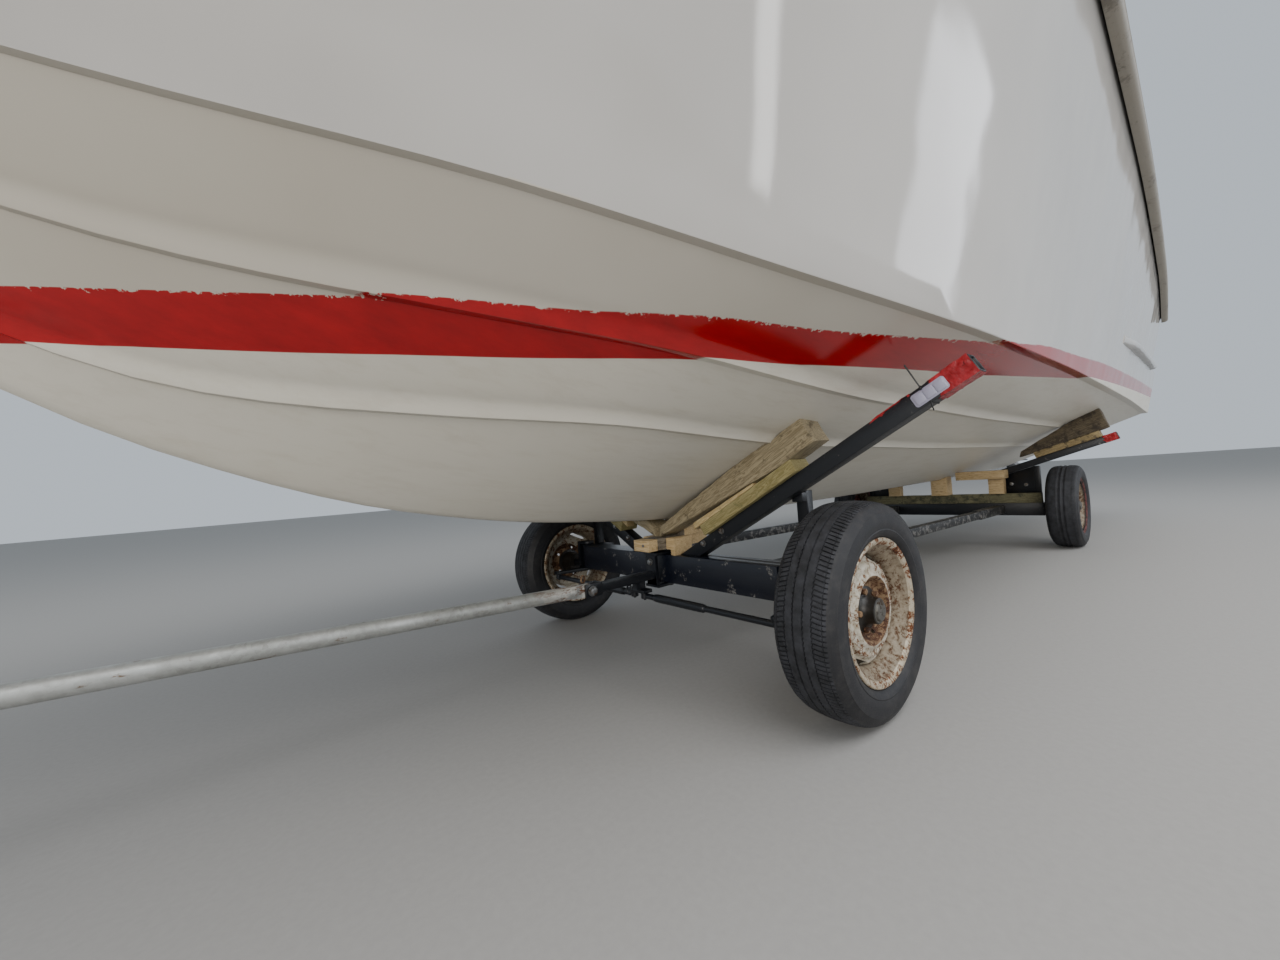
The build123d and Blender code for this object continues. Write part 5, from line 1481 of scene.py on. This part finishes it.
nail.data.transform(Matrix.Translation(at(0.1385, 0.012, 0.464))
                    @ Matrix.Rotation(math.radians(90), 4, "Y"))
fastened([nail], "keel_timber_nail", "root")

# %% [markdown]
# The drawbar's pull ring and the shackle under the stub are a torus each. The tie rods are
# thickest in the middle, where an adjusting sleeve is screwed on their thin ends.

# %% Rings and adjusting sleeves
def ring_at(x, y, z, major, minor, turn, stretch=1.0):
    nothing_selected()
    bpy.ops.mesh.primitive_torus_add(major_segments=40, minor_segments=12, major_radius=major,
                                     minor_radius=minor)
    piece = bpy.context.object
    piece.data.transform(Matrix.Translation(at(x, y, z)) @ turn
                         @ Matrix.Scale(stretch, 4, (1, 0, 0)))
    smooth(piece, 60)
    return piece


cross = Matrix.Rotation(math.radians(90), 4, "Y")
made = ring_at(0.425, 0.0, 0.3825, 0.013, 0.0035, Matrix.Rotation(0.5, 4, "Z") @ lie_down)
settle(made, "drawbar_ring", "bar", dish_rust)
made = ring_at(0.215, 0.0, 0.3025, 0.011, 0.003, Matrix.Rotation(0.3, 4, "Z") @ cross, 1.7)
settle(made, "stub_shackle", "stub", black_steel)
# Sleeve round a tie rod: place along the rod and radius, in millimetres
sleeve_outline = [(92, 11), (96, 14), (112, 15.5), (330, 15.5), (352, 14), (356, 11)]
for side, hand in (("port", 1), ("starboard", -1)):
    rod_low, rod_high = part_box("tie_rod_" + side)
    inner = [(y, 9.0) for y, radius in reversed(sleeve_outline)]
    made = turned("adjusting_sleeve", [(hand * y, r) for y, r in sleeve_outline + inner], 32)
    middle = Vector((axle_x + 0.165, 0, (rod_low.z + rod_high.z) / 2))
    made.data.transform(Matrix.Translation(middle))
    smooth(made, 35)
    settle(made, "adjusting_sleeve_" + side, "tie_" + side, black_steel)

# %% [markdown]
# A pale batten fills the gap between each front timber and the wedge plank on it. Its
# underside keeps the arm's slope, and its top thins out towards the arm's mouth.

# %% Battens under the wedge planks
grade = math.tan(math.radians(front_slope))
for side, hand in (("port", 1), ("starboard", -1)):
    batten = block(at(0.022, 0.355, 0.5), (0.040, 0.29, 0.03))
    for corner in batten.data.vertices:
        y = corner.co.y
        top = 0.5725 + grade * (y - 0.3)
        corner.co.z = top + 0.0006 if corner.co.z < 0.5 else top + 0.027 - 0.055 * (y - 0.21)
        corner.co.y = hand * y
    activate(batten)
    bpy.ops.object.mode_set(mode="EDIT")
    bpy.ops.mesh.select_all(action="SELECT")
    bpy.ops.mesh.normals_make_consistent(inside=False)
    bpy.ops.object.mode_set(mode="OBJECT")
    bevelled(batten, 0.0015)
    roughened(batten, 0.0012, 0.04, hand)
    smooth(batten, 40)
    settle(batten, "pale_batten_" + side, "root", batten_wood)

# %% [markdown]
# ## Cushions
# Seats, bench and sun pad are foam in sewn vinyl: they bulge between their seams and pull in
# at their corners. Each starts as a copy of its plain solid, a little smaller, remeshed into
# even faces. Cloth with pressure inside swells it, a cap keeps each corner near its start,
# and the sewn channels are pressed in afterwards.

# %% Padded pieces
cloth_steps = 12
deflated = 0.007
cloth_pressure = 4.0
channel_reach = 0.05


def swollen(piece, cap):
    """Blows the cover up by simulated cloth and holds each corner within a cap."""
    start = [corner.co.copy() for corner in piece.data.vertices]
    floor_z = min(point.z for point in start)
    cloth = piece.modifiers.new("cover", "CLOTH")
    cloth.settings.quality = 4
    cloth.settings.use_pressure = True
    cloth.settings.uniform_pressure_force = cloth_pressure
    cloth.settings.effector_weights.gravity = 0
    cloth.point_cache.frame_end = cloth_steps
    for step in range(1, cloth_steps + 1):
        bpy.context.scene.frame_set(step)
    shaped = piece.evaluated_get(bpy.context.evaluated_depsgraph_get()).data
    ends = [corner.co.copy() for corner in shaped.vertices]
    piece.modifiers.remove(cloth)
    bpy.context.scene.frame_set(1)
    for corner, first, last in zip(piece.data.vertices, start, ends):
        move = last - first
        if move.length > cap:
            move *= cap / move.length
        corner.co = first + move
        corner.co.z = max(corner.co.z, floor_z)


def padded_piece(node_name, name, voxel, cap, channels=()):
    """A cloth-like copy of a soft node, with channels at places along X or Y."""
    piece = merged_copy(node_name, name)
    piece.data.remesh_voxel_size = voxel
    bpy.ops.object.voxel_remesh()
    outward = [corner.normal.copy() for corner in piece.data.vertices]
    for corner, normal in zip(piece.data.vertices, outward):
        corner.co -= normal * deflated
    swollen(piece, cap)
    finer = piece.modifiers.new("finer", "SUBSURF")
    finer.levels = finer.render_levels = 1
    apply_all(piece)
    top = max(corner.co.z for corner in piece.data.vertices)
    facing_up = [max(0.0, corner.normal.z) for corner in piece.data.vertices]
    for axis, places, width, depth in channels:
        for corner, share in zip(piece.data.vertices, facing_up):
            if share < 0.3 or top - corner.co.z > channel_reach:
                continue
            for line in places:
                off = (corner.co[axis] - line) / width
                corner.co.z -= depth * share * math.exp(-off * off)
    activate(piece)
    bpy.ops.object.shade_smooth()
    made = settle(piece, name, body_of_node[node_name], cushion_vinyl,
                  [node_name])
    print(name, len(made.data.polygons), "faces")


def channel_places(node_name, axis, count):
    """Where the seams lie that part a cushion into equal panels."""
    low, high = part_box(node_name)
    step = (high[axis] - low[axis]) / count
    return [low[axis] + step * index for index in range(1, count)]


padded_piece("sunpad", "sewn_sunpad", 0.020, 0.012,
             [(0, channel_places("sunpad", 0, 6), 0.008, 0.007)])
padded_piece("bench_cushion", "sewn_bench", 0.019, 0.010,
             [(1, channel_places("bench_cushion", 1, 7), 0.007, 0.006)])
padded_piece("helm_seats", "sewn_helm_seats", 0.017, 0.010)

# %% [markdown]
# ## Bathing platform
# Teak boards run across the platform, with black caulking between them. One board is shaped
# and an array lays the rest.

# %% Teak boards
board_pitch = 0.0611
caulk = 0.006
caulk_drop = 0.003
low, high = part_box("platform_boards")
board_count = int((high.x - low.x + caulk) / board_pitch)
board_width = (high.x - low.x + caulk) / board_count - caulk
middle = (low + high) / 2
board = block((low.x + board_width / 2, middle.y, middle.z),
              (board_width, high.y - low.y, high.z - low.z))
bevelled(board, 0.0025)
row = board.modifiers.new("row", "ARRAY")
row.count = board_count
row.use_relative_offset = False
row.use_constant_offset = True
row.constant_offset_displace = (board_width + caulk, 0, 0)
apply_all(board)
bed = block(middle - Vector((0, 0, caulk_drop / 2)),
            (high.x - low.x - caulk, high.y - low.y - caulk, high.z - low.z - caulk_drop))
bevelled(bed, 0.001)
bed.data.materials.append(rail_groove)
board.data.materials.append(teak)
made = joined([board, bed])
smooth(made, 35)
settle(made, "teak_boards", "root", None, ["platform_boards"])
print(board_count, "boards", round(board_width, 4), "wide")

# %% [markdown]
# ## Rounded mouldings
# The console, bench base, engine, drive castings and cleats come out of moulds, so their
# edges are rounded by a few millimetres.

# %% Rounded mouldings
mouldings = [
    ("helm_console", "moulded_console", 0.006, deck_gelcoat, "console_moulding"),
    ("bench_base", "moulded_bench_base", 0.006, deck_gelcoat, "gelcoat"),
    ("engine_block", "rounded_engine", 0.010, engine_enamel, "engine_paint"),
    ("drive_shield", "cast_drive_shield", 0.003, drive_grey, "drive_paint"),
    ("gimbal_ring", "cast_gimbal_ring", 0.003, drive_grey, "drive_paint"),
    ("drive_leg", "cast_drive_leg", 0.003, drive_grey, "drive_paint"),
    ("cleats", "polished_cleats", 0.002, bright_steel, "polished_steel"),
]
for node_name, name, width, finish, slot_name in mouldings:
    dressed(node_name, name, width, finish)

# %% [markdown]
# ## Floor and light
# The floor is a plain pale studio floor. The light is soft: a large overhead panel and a lower
# one from the bow side leave the bottom in half shade, so that strakes show by their shadow
# lines, and two tall panels beside the boat draw the long reflections on the topside.

# %% Floor
nothing_selected()
bpy.ops.mesh.primitive_plane_add(size=80, location=(0, 0, 0))
floor = bpy.context.object
floor.name = "studio_floor"
made, tree, shader = finish_named("studio_floor", Roughness=0.85)
speck = add(tree, "TexNoise", place(tree), 60.0, 6.0, 0.55)
feed(tree, shader,
     Base_Color=add(tree, "Mix", speck, linear("#8F8D8A"), linear("#9A9895"), data_type="RGBA"))
floor.data.materials.append(made)


# %% Light
def panel_light(name, where, towards, size, power, colour="#FFFFFF"):
    """A soft rectangular light that looks at a point, with its power in watts."""
    data = bpy.data.lights.new(name, "AREA")
    data.shape = "RECTANGLE"
    data.size, data.size_y = size
    data.energy = power
    data.color = linear(colour)[:3]
    made = bpy.data.objects.new(name, data)
    bpy.context.scene.collection.objects.link(made)
    made.location = where
    made.rotation_euler = (Vector(towards) - Vector(where)).to_track_quat("-Z", "Y").to_euler()


panel_light("ceiling", (1.5, 4.5, 8.5), (0, 0.5, 0.5), (9, 7), 960)
panel_light("bow_side", (10.5, 6.5, 3.4), (1.5, 0, 1.6), (6, 4), 580, "#FFF8EE")
panel_light("quarter", (-5.5, 7.5, 3.0), (-2.0, 0, 1.2), (2.5, 4), 150, "#F2F6FF")
panel_light("tall_strip", (0.5, 9.5, 3.2), (0, 0, 1.4), (0.8, 5.0), 120)

world = bpy.data.worlds.new("studio")
bpy.context.scene.world = world
world.use_nodes = True
background = world.node_tree.nodes["Background"]
background.inputs["Color"].default_value = linear("#DCE6F0")
background.inputs["Strength"].default_value = 0.80
